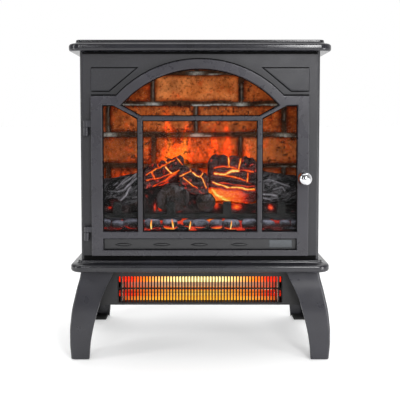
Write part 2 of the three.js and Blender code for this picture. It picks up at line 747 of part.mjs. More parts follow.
function controlFascia() {
  const low = SLOT_LOW + 1.2;
  const high = SLOT_HIGH - 1.2;
  const back = -BODY_Y - GAP;
  const holes = BUTTON_X.map((x) => lens(x, BUTTON_Z, 16, 2.9));
  holes.push(rectangle(DISPLAY.left - GAP, DISPLAY.right + GAP, DISPLAY.low - GAP, DISPLAY.high + GAP));
  const outline = rectangle(-FASCIA_X, FASCIA_X, low, high);
  const face = perforated(outline, holes, FASCIA_FRONT, FASCIA_FRONT + FASCIA_WALL);
  const inner = rectangle(-FASCIA_X + FASCIA_WALL, FASCIA_X - FASCIA_WALL, low + 1.5, high - 1.5);
  const rim = plate(rectangle(-FASCIA_X, FASCIA_X, low, high, [inner]), FASCIA_FRONT + 1, back);
  return join(face, rim);
}

function button(x) {
  const cap = plate(lens(x, BUTTON_Z, 15.5, 2.5), FASCIA_FRONT - 1.4, FASCIA_FRONT + 3);
  const stem = plate(circle(x, BUTTON_Z, 1.6), FASCIA_FRONT + 2, BOARD_FRONT - 1.6, 4);
  return join(cap, stem);
}

add('control_fascia', controlFascia(), 'grey_plastic');
BUTTON_X.forEach((x, i) => add(`button_${BUTTON_NAMES[i]}`, button(x), 'grey_plastic'));
const pane = rectangle(DISPLAY.left, DISPLAY.right, DISPLAY.low, DISPLAY.high);
add('display_window', plate(pane, FASCIA_FRONT + 0.4, FASCIA_FRONT + 1.8), 'display');
add('control_board', box(-186, 186, BOARD_FRONT, BOARD_FRONT + 1.6, 221, 240), 'circuit_board');

const boardLegs = [[46, 86], [144, 86], [46, 109], [144, 109]];
const boardPosts = boardLegs.map(([x, y]) => post(3, x, y, BODY_LOW, 204, 8));
add('power_board', join(box(40, 150, 80, 115, 203, 204.6), ...boardPosts), 'circuit_board');
const switchBody = box(-200, -178, 85, 101, BODY_LOW, 217);
add('tip_over_switch', join(switchBody, box(-206, -172, 88, 98, BODY_LOW, 200)), 'black_plastic');

// ---- Door: arched frame with glazing bars, one sheet of glass in its back, and a ball knob.
const POCKET = { halfX: 203, low: 246, shoulderX: 166, arch: 217 };

function paneOutlines() {
  const barIn = BAR_X - BAR_HALF;
  const barOut = BAR_X + BAR_HALF;
  const crossTop = CROSS_Z + CROSS_HALF;
  const crossX = 116.7;
  const springX = 154.7;
  const rise = Math.sqrt(ARCH_IN * ARCH_IN - springX * springX);
  const spring = Math.atan2(rise, springX);
  const light = [
    [barOut, RAIL_Z],
    [STILE_X, RAIL_Z],
    [STILE_X, LIGHT_TOP],
    [170.4, LIGHT_TOP],
    [barOut, 479],
  ];
  const arch = new THREE.Shape();
  arch.moveTo(-crossX, crossTop);
  arch.lineTo(crossX, crossTop);
  arch.absarc(0, ARCH_Z, ARCH_IN, spring, Math.PI - spring);
  arch.closePath();
  return [
    shapeOf(light),
    shapeOf(light.map(([x, z]) => [-x, z])),
    rectangle(-barIn, barIn, RAIL_Z, CROSS_Z - CROSS_HALF),
    arch,
  ];
}

function doorFrame() {
  const outline = archPath(new THREE.Shape(), DOOR_X, DOOR_LOW, 165, ARCH_OUT);
  const pocket = archPath(new THREE.Shape(), POCKET.halfX, POCKET.low, POCKET.shoulderX, POCKET.arch);
  const openings = [rectangle(-SLOT_X, SLOT_X, SLOT_LOW, SLOT_HIGH), ...paneOutlines()];
  const frame = perforated(outline, openings, DOOR_FRONT, DOOR_BACK, 14);
  return cut(frame, plate(pocket, BAR_BACK, DOOR_BACK + 1, 14));
}

function doorGlass() {
  const margin = 1;
  const shape = archPath(
    new THREE.Shape(),
    POCKET.halfX - margin,
    POCKET.low + margin,
    POCKET.shoulderX - margin / 2,
    POCKET.arch - margin,
  );
  return plate(shape, BAR_BACK + GAP, BAR_BACK + GAP + 3, 14);
}

const KNOB = { x: 204, z: 362, radius: 14 };

function doorKnob() {
  const centre = HALF_D + KNOB_REACH - KNOB.radius; // the ball's middle, in front of the middle plane
  const reach = centre + DOOR_FRONT - GAP;
  const neck = 6;
  const profile = [[0, 0], [9, 0], [9, 1.4], [neck, 1.4]];
  const meets = -Math.sqrt(KNOB.radius ** 2 - neck ** 2);
  const start = Math.atan2(meets, neck);
  for (let i = 0; i <= 9; i += 1) {
    const angle = THREE.MathUtils.lerp(start, Math.PI / 2, i / 9);
    const radius = i === 9 ? 0 : KNOB.radius * Math.cos(angle);
    profile.push([radius, reach + KNOB.radius * Math.sin(angle)]);
  }
  return turned(profile, 20, KNOB.x, DOOR_FRONT - GAP, KNOB.z);
}

add('door_frame', doorFrame(), 'charcoal_paint');
add('door_glass', doorGlass(), 'glass');
add('door_knob', doorKnob(), 'chrome');

// ---- Lift-off hinges: a pin in each door lug drops into a knuckle on the cabinet.
const HINGES = { upper: [445.7, 461.6, 475.5], lower: [237, 253, 264.5] };

function hingeKnuckle(low, high) {
  const arm = box(PIN_X - 4, PIN_X + 4, PIN_Y + 2, -BODY_Y - GAP, low, high);
  const barrel = join(post(KNUCKLE_R, PIN_X, PIN_Y, low, high, 20), arm);
  return cut(barrel, post(PIN_R + 0.3, PIN_X, PIN_Y, low - 1, high + 1, 20));
}

function hingeLug(pinLow, low, high) {
  const lugLow = low + 1;
  const arm = box(PIN_X, -DOOR_X - GAP, PIN_Y - 4, PIN_Y + 4, lugLow, high);
  const pin = post(PIN_R, PIN_X, PIN_Y, pinLow, high - 1, 16);
  return join(post(KNUCKLE_R, PIN_X, PIN_Y, lugLow, high, 20), arm, pin);
}

for (const [place, [low, high, top]] of Object.entries(HINGES)) {
  add(`hinge_knuckle_${place}`, hingeKnuckle(low, high), 'charcoal_paint');
  add(`hinge_pin_${place}`, hingeLug(low + 1, high, top), 'charcoal_paint');
}

const magnetSides = [MAGNET.x - MAGNET.halfX, MAGNET.x + MAGNET.halfX];
const magnetEnds = [MAGNET.z - MAGNET.halfZ, MAGNET.z + MAGNET.halfZ];
add('door_magnet', box(...magnetSides, DOOR_BACK + 0.5, -110, ...magnetEnds), 'black_plastic');

export default stove;
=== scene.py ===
# Freestanding electric fireplace stove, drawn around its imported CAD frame. Metres, +Z up, front faces -Y.
import math

import bmesh
import bpy
import numpy as np
from mathutils import Matrix, Vector


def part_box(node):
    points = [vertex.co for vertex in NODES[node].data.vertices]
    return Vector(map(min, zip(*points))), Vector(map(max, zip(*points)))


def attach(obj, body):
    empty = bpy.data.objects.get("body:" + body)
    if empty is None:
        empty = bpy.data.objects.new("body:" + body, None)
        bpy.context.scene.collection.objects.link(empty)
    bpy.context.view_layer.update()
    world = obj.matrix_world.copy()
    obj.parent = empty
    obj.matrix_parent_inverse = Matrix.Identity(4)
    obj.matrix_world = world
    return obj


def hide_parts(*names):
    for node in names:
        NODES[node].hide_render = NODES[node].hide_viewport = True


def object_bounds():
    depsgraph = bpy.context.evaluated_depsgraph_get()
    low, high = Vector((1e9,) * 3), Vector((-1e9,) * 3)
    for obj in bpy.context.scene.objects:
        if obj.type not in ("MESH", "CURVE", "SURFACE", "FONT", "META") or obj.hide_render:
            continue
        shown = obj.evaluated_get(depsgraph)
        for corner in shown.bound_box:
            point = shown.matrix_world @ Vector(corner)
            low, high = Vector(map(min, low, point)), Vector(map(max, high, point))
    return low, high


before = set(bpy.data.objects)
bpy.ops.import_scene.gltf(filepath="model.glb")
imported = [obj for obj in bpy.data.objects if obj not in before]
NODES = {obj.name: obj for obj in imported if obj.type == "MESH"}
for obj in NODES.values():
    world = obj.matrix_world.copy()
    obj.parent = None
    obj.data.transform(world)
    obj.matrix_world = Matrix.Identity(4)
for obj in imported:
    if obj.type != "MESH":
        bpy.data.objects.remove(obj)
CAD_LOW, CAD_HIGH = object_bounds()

MM = 0.001
TURN = 2 * math.pi
WELD_METRES = 1e-6


def box_mm(node):
    """The lowest and highest corner of a CAD node in millimetres."""
    low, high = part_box(node)
    return low / MM, high / MM


# ---- Repeatable noise, for shapes.
HASH_X, HASH_Y, HASH_Z, HASH_SEED = 374761393, 668265263, 1274126177, 974634777
LOW_32_BITS = 0xFFFFFFFF
LOW_24_BITS = 0xFFFFFF


def scatter(cells, seed):
    """Numbers from 0 to 1 that depend only on whole-number cells."""
    x, y, z = (cells[..., i].astype(np.int64) for i in range(3))
    mixed = (x * HASH_X + y * HASH_Y + z * HASH_Z + seed * HASH_SEED) & LOW_32_BITS
    mixed = ((mixed ^ (mixed >> 13)) * HASH_Z) & LOW_32_BITS
    return ((mixed ^ (mixed >> 16)) & LOW_24_BITS) / LOW_24_BITS


def noise(points, size, seed, octaves=4):
    """Layered smooth noise from -1 to 1; size is the width of its largest lumps."""
    total = np.zeros(points.shape[:-1])
    weight = 1.0
    for octave in range(octaves):
        place = points / np.asarray(size) * 2**octave
        cell = np.floor(place)
        inside = place - cell
        inside = inside * inside * (3 - 2 * inside)
        value = 0
        for corner in np.ndindex(2, 2, 2):
            share = np.prod(np.where(corner, inside, 1 - inside), axis=-1)
            value = value + share * scatter(cell + corner, seed + octave)
        total += weight * (2 * value - 1)
        weight /= 2
    return total / (2 - 2 * weight)


def ridged(points, size, seed, octaves):
    """Noise folded into ridges whose crests reach 1."""
    return 1 - 2 * np.abs(noise(points, size, seed, octaves))


def step(low, high, value):
    """0 below low, 1 above high, smooth between."""
    t = np.clip((value - low) / (high - low), 0, 1)
    return t * t * (3 - 2 * t)


def path_distance(x, z, path):
    """Distance from points to a polyline in X and Z."""
    nearest = np.full(np.shape(x), 1e9)
    for (ax, az), (bx, bz) in zip(path, path[1:]):
        dx, dz = bx - ax, bz - az
        t = np.clip(((x - ax) * dx + (z - az) * dz) / (dx * dx + dz * dz), 0, 1)
        nearest = np.minimum(nearest, np.hypot(x - ax - t * dx, z - az - t * dz))
    return nearest


# ---- Shapes. All of these take millimetres and give (vertices, faces).
def arc(cx, cy, radius_x, radius_y, start, end, steps):
    """Points on an ellipse between two angles in degrees."""
    angles = [math.radians(start + (end - start) * i / steps) for i in range(steps + 1)]
    return [(cx + radius_x * math.cos(a), cy + radius_y * math.sin(a)) for a in angles]


def loft(rings, caps=True):
    """A skin over rings of equal length, with a face across each end."""
    rings = np.asarray(rings, float)
    count, size = rings.shape[:2]
    faces = []
    for i in range(count - 1):
        for j in range(size):
            k = (j + 1) % size
            faces.append((i * size + j, i * size + k, (i + 1) * size + k, (i + 1) * size + j))
    if caps:
        faces.append(tuple(range(size)))
        faces.append(tuple(range((count - 1) * size, count * size)))
    return rings.reshape(-1, 3), faces


def lathe(profile, sides, centre):
    """A turned shape about an axis along Y; the profile is (radius, reach towards -Y)."""
    angles = np.arange(sides) * TURN / sides
    rings = [
        [(centre[0] + r * math.cos(a), centre[1] - reach, centre[2] + r * math.sin(a)) for a in angles]
        for r, reach in profile
    ]
    return loft(rings)


def rod(start, end, radius, sides):
    """A round bar with slightly eased ends."""
    start, end = Vector(start), Vector(end)
    along = (end - start).normalized()
    across = along.orthogonal().normalized()
    up = along.cross(across)
    ease = min(radius * 0.3, 0.4)
    angles = [TURN * i / sides for i in range(sides)]
    rings = []
    for centre, grow in ((start, -ease), (start + along * ease, 0), (end - along * ease, 0), (end, -ease)):
        rings.append([centre + (radius + grow) * (across * math.cos(a) + up * math.sin(a)) for a in angles])
    return loft(rings)


def prism(outline, low, high):
    """A straight column on an outline in X and Y."""
    return loft([[(x, y, low) for x, y in outline], [(x, y, high) for x, y in outline]])


def plate(outlines, front, back, ease=0.4, steps=2):
    """A plate standing in X and Z with rounded edges; outlines after the first are holes."""
    curve = bpy.data.curves.new("outline", "CURVE")
    curve.dimensions = "2D"
    curve.fill_mode = "BOTH"
    curve.extrude = (back - front) / 2 - ease
    curve.bevel_depth = ease
    curve.bevel_resolution = steps
    curve.offset = -ease
    for outline in outlines:
        spline = curve.splines.new("POLY")
        spline.points.add(len(outline) - 1)
        for point, (x, z) in zip(spline.points, outline):
            point.co = (x, z, 0, 1)
        spline.use_cyclic_u = True
    holder = bpy.data.objects.new("outline", curve)
    bpy.context.collection.objects.link(holder)
    depsgraph = bpy.context.evaluated_depsgraph_get()
    mesh = bpy.data.meshes.new_from_object(holder.evaluated_get(depsgraph))
    bpy.data.objects.remove(holder)
    bpy.data.curves.remove(curve)
    mesh.transform(Matrix.Translation((0, (front + back) / 2, 0)) @ Matrix.Rotation(math.pi / 2, 4, "X"))
    vertices = np.array([v.co for v in mesh.vertices])
    faces = [tuple(p.vertices) for p in mesh.polygons]
    bpy.data.meshes.remove(mesh)
    return vertices, faces


def together(*parts):
    """Several shapes as one."""
    vertices, faces, start = [], [], 0
    for part_vertices, part_faces in parts:
        vertices.append(np.asarray(part_vertices, float))
        faces += [tuple(i + start for i in face) for face in part_faces]
        start += len(part_vertices)
    return np.concatenate(vertices), faces


def mirrored(shape):
    """The same shape on the other side of the middle plane."""
    vertices = np.array(shape[0], float)
    vertices[:, 0] *= -1
    return vertices, shape[1]


def piece(name, shape, material, body="cabinet", stands_for=(), sharp=35, layers=None):
    """Makes an object from a shape in millimetres, shades it, and hangs it on the frame."""
    vertices, faces = shape
    mesh = bpy.data.meshes.new(name)
    mesh.from_pydata((np.asarray(vertices, float) * MM).tolist(), [], [list(f) for f in faces])
    for layer, values in (layers or {}).items():
        store = mesh.attributes.new(layer, "FLOAT", "POINT")
        store.data.foreach_set("value", np.asarray(values, np.float32).ravel())
    work = bmesh.new()
    work.from_mesh(mesh)
    bmesh.ops.remove_doubles(work, verts=work.verts, dist=WELD_METRES)
    bmesh.ops.recalc_face_normals(work, faces=work.faces)
    work.to_mesh(mesh)
    work.free()
    mesh.shade_smooth()
    mesh.set_sharp_from_angle(angle=math.radians(sharp))
    made = bpy.data.objects.new(name, mesh)
    bpy.context.collection.objects.link(made)
    mesh.materials.append(material)
    normals = made.modifiers.new("Even normals", "WEIGHTED_NORMAL")
    normals.keep_sharp = True
    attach(made, body)
    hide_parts(*([stands_for] if isinstance(stands_for, str) else stands_for))
    return made


def ease_edges(made, width, angle):
    """Rounds the edges that are sharper than an angle, by a width in millimetres."""
    bevel = made.modifiers.new("Eased edges", "BEVEL")
    bevel.width = width * MM
    bevel.segments = 2
    bevel.limit_method = "ANGLE"
    bevel.angle_limit = math.radians(angle)


def dress(names, material, ease=0.0):
    """Gives CAD nodes a material and, where they are seen, eased edges."""
    for name in names:
        node = NODES[name]
        node.data.materials.clear()
        node.data.materials.append(material)
        if not ease:
            continue
        for layer in ("custom_normal", "sharp_edge", "sharp_face"):
            if layer in node.data.attributes:
                node.data.attributes.remove(node.data.attributes[layer])
        weld = node.modifiers.new("Weld", "WELD")
        weld.merge_threshold = WELD_METRES
        ease_edges(node, ease, 35)
        node.modifiers.new("Even normals", "WEIGHTED_NORMAL")


# ---- Materials. Patterns come from object coordinates, which are metres in the frame.
def rgb(red, green, blue):
    """A linear colour from screen values of 0 to 255."""
    scaled = (c / 255 for c in (red, green, blue))
    return tuple(c / 12.92 if c <= 0.04045 else ((c + 0.055) / 1.055) ** 2.4 for c in scaled) + (1.0,)


class Finish:
    """A Principled material with short names for the nodes that the finishes below need."""

    def __init__(self, name, **sockets):
        self.material = bpy.data.materials.new(name)
        self.material.use_nodes = True
        self.tree = self.material.node_tree
        self.shader = self.tree.nodes["Principled BSDF"]
        for socket, value in sockets.items():
            self.shader.inputs[socket.replace("_", " ").title()].default_value = value
        self.place = self.node("ShaderNodeTexCoord").outputs["Object"]

    def node(self, kind, **settings):
        made = self.tree.nodes.new(kind)
        for key, value in settings.items():
            setattr(made, key, value)
        return made

    def join(self, value, socket):
        if isinstance(value, bpy.types.NodeSocket):
            self.tree.links.new(value, socket)
        else:
            socket.default_value = value

    def to(self, socket, value):
        self.join(value, self.shader.inputs[socket])

    def along(self, axis):
        split = self.node("ShaderNodeSeparateXYZ")
        self.join(self.place, split.inputs[0])
        return split.outputs[axis]

    def stretched(self, factors):
        mapping = self.node("ShaderNodeMapping")
        mapping.inputs["Scale"].default_value = factors
        self.join(self.place, mapping.inputs["Vector"])
        return mapping.outputs["Vector"]

    def noise(self, size_mm, detail=3, rough=0.5, stretch=None):
        made = self.node("ShaderNodeTexNoise")
        made.inputs["Scale"].default_value = 1 / (size_mm * MM)
        made.inputs["Detail"].default_value = detail
        made.inputs["Roughness"].default_value = rough
        self.join(self.stretched(stretch) if stretch else self.place, made.inputs["Vector"])
        return made.outputs["Fac"]

    def cells(self, size_mm):
        made = self.node("ShaderNodeTexVoronoi")
        made.inputs["Scale"].default_value = 1 / (size_mm * MM)
        self.join(self.place, made.inputs["Vector"])
        return made.outputs["Distance"]

    def layer(self, name):
        return self.node("ShaderNodeAttribute", attribute_name=name).outputs["Fac"]

    def ramp(self, value, *stops):
        made = self.node("ShaderNodeValToRGB")
        bar = made.color_ramp.elements
        while len(bar) < len(stops):
            bar.new(0.5)
        for element, (position, colour) in zip(bar, stops):
            element.position = position
            element.color = colour if isinstance(colour, tuple) else (colour, colour, colour, 1)
        self.join(value, made.inputs["Fac"])
        return made.outputs["Color"]

    def mix(self, factor, first, second, blend="MIX"):
        made = self.node("ShaderNodeMix", data_type="RGBA", blend_type=blend)
        self.join(factor, made.inputs[0])
        self.join(first, made.inputs[6])
        self.join(second, made.inputs[7])
        return made.outputs[2]

    def math(self, operation, first, second=0.0):
        made = self.node("ShaderNodeMath", operation=operation)
        self.join(first, made.inputs[0])
        self.join(second, made.inputs[1])
        return made.outputs[0]

    def range(self, value, low, high, to_low, to_high):
        made = self.node("ShaderNodeMapRange")
        for socket, setting in zip(made.inputs, (value, low, high, to_low, to_high)):
            self.join(setting, socket)
        return made.outputs[0]

    def vary(self, noise, low, high):
        """Spreads a noise, most of which lies between 0.3 and 0.7, from low to high."""
        return self.range(noise, 0.3, 0.7, low, high)

    def bump(self, height, strength, depth_mm, under=None):
        made = self.node("ShaderNodeBump")
        made.inputs["Strength"].default_value = strength
        made.inputs["Distance"].default_value = depth_mm * MM
        self.join(height, made.inputs["Height"])
        if under is not None:
            self.join(under, made.inputs["Normal"])
        self.to("Normal", made.outputs["Normal"])
        return made.outputs["Normal"]


def dimmed(colour, share):
    """A share of a colour's light."""
    return tuple(c * share for c in colour[:3]) + (1,)


def painted(name, dark, light, rough_low, rough_high):
    """Satin powder coat: fine orange peel, faint cloudiness, tiny specks."""
    finish = Finish(name)
    grain = 0.16
    cloud = finish.noise(70, 3)
    speck = finish.noise(0.9, 2, 0.6)
    colour = finish.mix(finish.range(cloud, 0.35, 0.65, 0, 1), dark, light)
    finish.to("Base Color", finish.mix(finish.range(speck, 0.56, 0.72, 0, 0.25), colour, rgb(96, 94, 100)))
    finish.to("Roughness", finish.vary(finish.noise(24, 4), rough_low, rough_high))
    peel = finish.bump(finish.noise(2.6, 2), grain, 0.12)
    finish.bump(finish.noise(0.7, 2, 0.7), grain, 0.05, peel)
    return finish.material


def moulded(name, colour, roughness, grain=0.2, specular=0.5):
    """Moulded plastic with a fine spark-eroded grain."""
    finish = Finish(name)
    finish.to("Specular IOR Level", specular)
    finish.to("Base Color", finish.mix(finish.noise(18, 3), colour, dimmed(colour, 0.72)))
    finish.to("Roughness", finish.vary(finish.noise(6, 3), roughness - 0.06, roughness + 0.08))
    finish.bump(finish.noise(0.5, 2, 0.7), grain, 0.06)
    return finish.material


def brushed(name, colour, roughness, stretch=(1, 30, 30), spangle=0.0):
    """Sheet metal with a rolling direction, and spangle where it is galvanised."""
    finish = Finish(name, metallic=1.0)
    grain = finish.noise(8, 4, 0.6, stretch)
    darker = dimmed(colour, 0.6)
    base = finish.mix(finish.vary(grain, 0, 0.5), colour, darker)
    if spangle:
        base = finish.mix(finish.range(finish.cells(6), 0.2, 0.8, 0, spangle), base, darker)
    finish.to("Base Color", base)
    finish.to("Roughness", finish.vary(grain, roughness, roughness + 0.12))
    finish.bump(grain, 0.15, 0.03)
    return finish.material


PAINT = painted("charcoal powder coat", rgb(39, 39, 44), rgb(45, 45, 51), 0.26, 0.36)
# Copies of the charcoal coat: the slab and panel coats are painted darker and the door coat lighter, as
# painted shade and light; their gloss differs too.
SHADED_SLAB_PAINT = painted("charcoal slab coat with painted shade", rgb(28, 28, 32), rgb(34, 34, 39), 0.15, 0.21)
SHADED_PANEL_PAINT = painted("charcoal panel coat with painted shade", rgb(25, 25, 29), rgb(31, 31, 36), 0.42, 0.52)
LIT_DOOR_PAINT = painted("charcoal door coat with painted light", rgb(43, 42, 47), rgb(49, 48, 54), 0.24, 0.34)
HOUSING_PAINT = painted("matt black housing", rgb(26, 26, 27), rgb(32, 31, 31), 0.5, 0.62)
GREY_PLASTIC = moulded("grey moulded fascia", rgb(44, 44, 46), 0.46)
BLACK_PLASTIC = moulded("black moulded plastic", rgb(24, 24, 26), 0.5)
RUBBER = moulded("black rubber", rgb(26, 26, 26), 0.82, 0.35)
# Near-black for painted shadows: the strips round the door and under the slabs, and the beads inside the
# door's openings.
SHADOW_BLACK = moulded("painted shadow black", rgb(8, 8, 8), 0.9, specular=0.12)
CERAMIC = moulded("cream ceramic", rgb(216, 208, 190), 0.66, 0.3)
BOARD = moulded("green circuit board", rgb(30, 88, 52), 0.42, 0.1)
ZINC = brushed("galvanised sheet", rgb(150, 152, 154), 0.34, (1, 4, 4), 0.6)
POLISHED = brushed("bright rolled sheet", rgb(214, 208, 196), 0.16)


def cast_black():
    """Matt black coating over a slightly sandy surface, with a dusting of grey ash."""
    finish = Finish("cast black")
    finish.to("Specular IOR Level", 0.2)
    dust = finish.range(finish.noise(14, 5, 0.65), 0.48, 0.75, 0, 0.5)
    finish.to("Base Color", finish.mix(dust, rgb(24, 24, 24), rgb(70, 69, 68)))
    finish.to("Roughness", finish.vary(finish.noise(5, 3), 0.6, 0.85))
    finish.bump(finish.noise(1.6, 4, 0.6), 0.5, 0.3)
    return finish.material


def chrome():
    """Polished chrome with the faintest haze and wipe marks."""
    finish = Finish("chrome", metallic=1.0)
    haze = finish.noise(9, 4, 0.6)
    finish.to("Base Color", finish.mix(haze, rgb(226, 226, 228), rgb(206, 206, 210)))
    finish.to("Roughness", finish.vary(haze, 0.05, 0.11))
    finish.bump(finish.noise(3, 3), 0.04, 0.05)
    return finish.material


def clear_sheet(name, alpha, colour, roughness):
    """A clear sheet: a dark, thinly seen surface that keeps its reflections."""
    finish = Finish(name, alpha=alpha, base_color=colour)
    smear = finish.noise(45, 4, 0.6)
    finish.to("Roughness", finish.range(smear, 0.35, 0.7, roughness, roughness + 0.05))
    return finish.material


CAST_BLACK = cast_black()
CHROME = chrome()
GLASS = clear_sheet("door glass", 0.06, rgb(16, 20, 20), 0.02)

HEAT_STOPS = (
    (0.0, rgb(0, 0, 0)),
    (0.2, rgb(70, 10, 6)),
    (0.42, rgb(214, 44, 14)),
    (0.62, rgb(255, 96, 16)),
    (0.8, rgb(255, 176, 34)),
    (1.0, rgb(255, 246, 150)),
)


def charred(name, wood, ash):
    """Moulded charcoal: dull near-black, ashy on its ridges, lit from inside along its cracks."""
    finish = Finish(name, emission_strength=1.0)
    finish.to("Specular IOR Level", 0.2)
    grain = finish.noise(5, 5, 0.62)
    dusting = finish.math("MULTIPLY", finish.layer("ash"), finish.range(grain, 0.3, 0.62, 0.35, 1))
    body = finish.mix(finish.range(finish.noise(11, 4), 0.35, 0.65, 0, 1), wood, rgb(14, 13, 13))
    finish.to("Base Color", finish.mix(dusting, body, ash))
    finish.to("Roughness", finish.vary(grain, 0.62, 0.9))
    flicker = finish.vary(finish.noise(4.5, 4, 0.6), 0.82, 1.1)
    heat = finish.math("MULTIPLY", finish.layer("embers"), flicker)
    finish.to("Emission Color", finish.ramp(heat, *HEAT_STOPS))
    finish.bump(finish.noise(2.2, 5, 0.65), 0.55, 0.8)
    return finish.material


BARK = charred("dark bark", rgb(26, 24, 25), rgb(190, 186, 194))
END_GRAIN = charred("sawn log end", rgb(48, 34, 28), rgb(122, 116, 120))
CHARCOAL = charred("glowing charcoal", rgb(34, 27, 27), rgb(124, 104, 102))
COALS = charred("coals and ash", rgb(34, 31, 33), rgb(150, 152, 170))


# ---- Slabs: a wide bullnosed tier, a cove, and a narrower rolled tier, hollow underneath.
SLAB_CORNER = 25
TIER_INSET = 14
LOWER_TIER = 15
UPPER_ROLL = 2.0
COVE_INSET = 8
NOSE = 5.5
SKIRT_INSET = 38


def slab_ring(low, high, inset, z):
    """A rounded rectangle inside a slab's outer edge."""
    radius = max(SLAB_CORNER - inset, 3)
    middle_x, middle_y = (low.x + high.x) / 2, (low.y + high.y) / 2
    reach_x = (high.x - low.x) / 2 - inset - radius
    reach_y = (high.y - low.y) / 2 - inset - radius
    ring = []
    for quarter, (sx, sy) in enumerate(((1, 1), (-1, 1), (-1, -1), (1, -1))):
        for x, y in arc(sx * reach_x, sy * reach_y, radius, radius, quarter * 90, quarter * 90 + 90, 10):
            ring.append((middle_x + x, middle_y + y, z))
    return ring


def slab(node):
    """A skin whose profile, as (inset, Z), runs down the outside, in underneath and up the inside."""
    low, high = box_mm(node)
    ledge = low.z + LOWER_TIER
    cove_top = high.z - UPPER_ROLL - 1
    tier_inside = TIER_INSET + 1.8
    skirt_inside = low.z + 1.5
    profile = arc(TIER_INSET + UPPER_ROLL, high.z - UPPER_ROLL, UPPER_ROLL, UPPER_ROLL, 90, 180, 4)
    profile += arc(COVE_INSET, cove_top, TIER_INSET - COVE_INSET, cove_top - ledge - 0.5, 0, -90, 6)
    profile += [(6.6, ledge + 0.4)]
    profile += arc(NOSE, ledge - 5.3, NOSE, 5.3, 90, 180, 6)
    profile += arc(5, low.z + 5, 5, 5, 180, 270, 5)
    profile += [(SKIRT_INSET, low.z), (SKIRT_INSET, skirt_inside), (6.5, skirt_inside)]
    profile += [(2, low.z + 6), (2, ledge - 6), (6, ledge - 2.2)]
    profile += [(tier_inside, ledge - 2), (tier_inside, high.z - 1.5)]
    return loft([slab_ring(low, high, inset, z) for inset, z in profile])


for node in ("top_slab", "base_plate"):
    piece(f"{node}_pressing", slab(node), SHADED_SLAB_PAINT, stands_for=node, sharp=50)


# ---- Legs: hollow angle sections that curve on both faces.
# Reach of a leg's outer and inner edge from the middle, and height, from the slab down.
LEG_SPREAD = (
    (239.3, 172.2, 174.7),
    (242.2, 179.7, 158),
    (247, 189.2, 139),
    (251, 197, 120),
    (255, 203, 100),
    (257.2, 208, 81),
    (259, 213.2, 58),
    (259, 217.6, 32),
    (257, 220.3, 1),
)


def smooth_through(points, per_span=6):
    """A Catmull-Rom curve through a list of points."""
    points = np.array(points, float)
    padded = np.vstack((2 * points[0] - points[1], points, 2 * points[-1] - points[-2]))
    curve = []
    for i in range(len(points) - 1):
        a, b, c, d = padded[i : i + 4]
        for t in np.arange(per_span) / per_span:
            bend = 2 * b + (c - a) * t + (2 * a - 5 * b + 4 * c - d) * t**2 + (3 * b - a - 3 * c + d) * t**3
            curve.append(bend / 2)
    return np.array([*curve, points[-1]])


def leg(sx, sy):
    low, high = box_mm("base_plate")
    half_width = (high.x - low.x) / 2
    half_depth = (high.y - low.y) / 2
    middle_y = (high.y + low.y) / 2
    corner, wall, lip = 6, 1.8, 7
    rings = []
    for outer, inner, z in smooth_through(LEG_SPREAD):
        outer = min(outer, half_width)
        arm = outer - inner
        section = [(arm, 0)] + arc(corner, corner, corner, corner, 270, 180, 6) + [(0, arm)]
        section += [(lip, arm), (lip, arm - wall), (wall, arm - wall)]
        section += arc(corner, corner, corner - wall, corner - wall, 180, 270, 6)
        section += [(arm - wall, wall), (arm - wall, lip), (arm, lip)]
        shift = outer - half_width + half_depth
        rings.append([(sx * (outer - u), middle_y + sy * (shift - v), z) for u, v in section])
    return loft(rings)


for end, sy in (("front", -1), ("rear", 1)):
    for side, sx in (("left", -1), ("right", 1)):
        name = f"leg_{end}_{side}"
        shell = piece(f"{name}_shell", leg(sx, sy), PAINT, stands_for=name)
        ease_edges(shell, 0.5, 40)
        shell.modifiers.move(1, 0)


# ---- Cabinet shell. The front panel's face is the front panel box's front less its raised fields.
SHEET = 1.5
BODY_CORNER = 6
FIELD_RAISE = 2
ARCH_Z = 370.5


def arched(half_x, low, shoulder_x, radius, steps=56):
    """Straight sides, level shoulders and an arch."""
    rise = math.sqrt(radius**2 - shoulder_x**2)
    start = math.degrees(math.atan2(rise, shoulder_x))
    corners = [(-half_x, low), (half_x, low), (half_x, ARCH_Z + rise)]
    crown = arc(0, ARCH_Z, radius, radius, start, 180 - start, steps)
    return corners + crown + [(-half_x, ARCH_Z + rise)]


def rectangle(x0, x1, z0, z1):
    return [(x0, z0), (x1, z0), (x1, z1), (x0, z1)]


def disc(x, z, radius, steps=24):
    return arc(x, z, radius, radius, 0, 360 - 360 / steps, steps - 1)


def corner_return(half_x, face, seam, low, high):
    """The rounded vertical edge of the front panel, on the right-hand side."""
    centre_x, centre_y = half_x - BODY_CORNER, face + BODY_CORNER
    outside = arc(centre_x, centre_y, BODY_CORNER, BODY_CORNER, -90, 0, 8) + [(half_x, seam)]
    inner = BODY_CORNER - SHEET
    inside = [(half_x - SHEET, seam)] + arc(centre_x, centre_y, inner, inner, 0, -90, 8)
    return prism(outside + inside, low, high)


def corner_field(face):
    """A raised field with a bevelled edge, on the right-hand side."""
    foot = ((216.5, 579.5), (124.5, 579.5), (180, 533.5), (216.5, 533.5))
    crest = ((212.5, 575.5), (135.2, 575.5), (181.6, 537.5), (212.5, 537.5))
    rings = []
    for t, rise in ((0, -0.5), (0, 0), (0.3, 0.75), (0.75, 0.95), (1, 1)):
        ring = [(fx + (cx - fx) * t, fz + (cz - fz) * t) for (fx, fz), (cx, cz) in zip(foot, crest)]
        rings.append([(x, face - FIELD_RAISE * rise, z) for x, z in ring])
    return loft(rings)


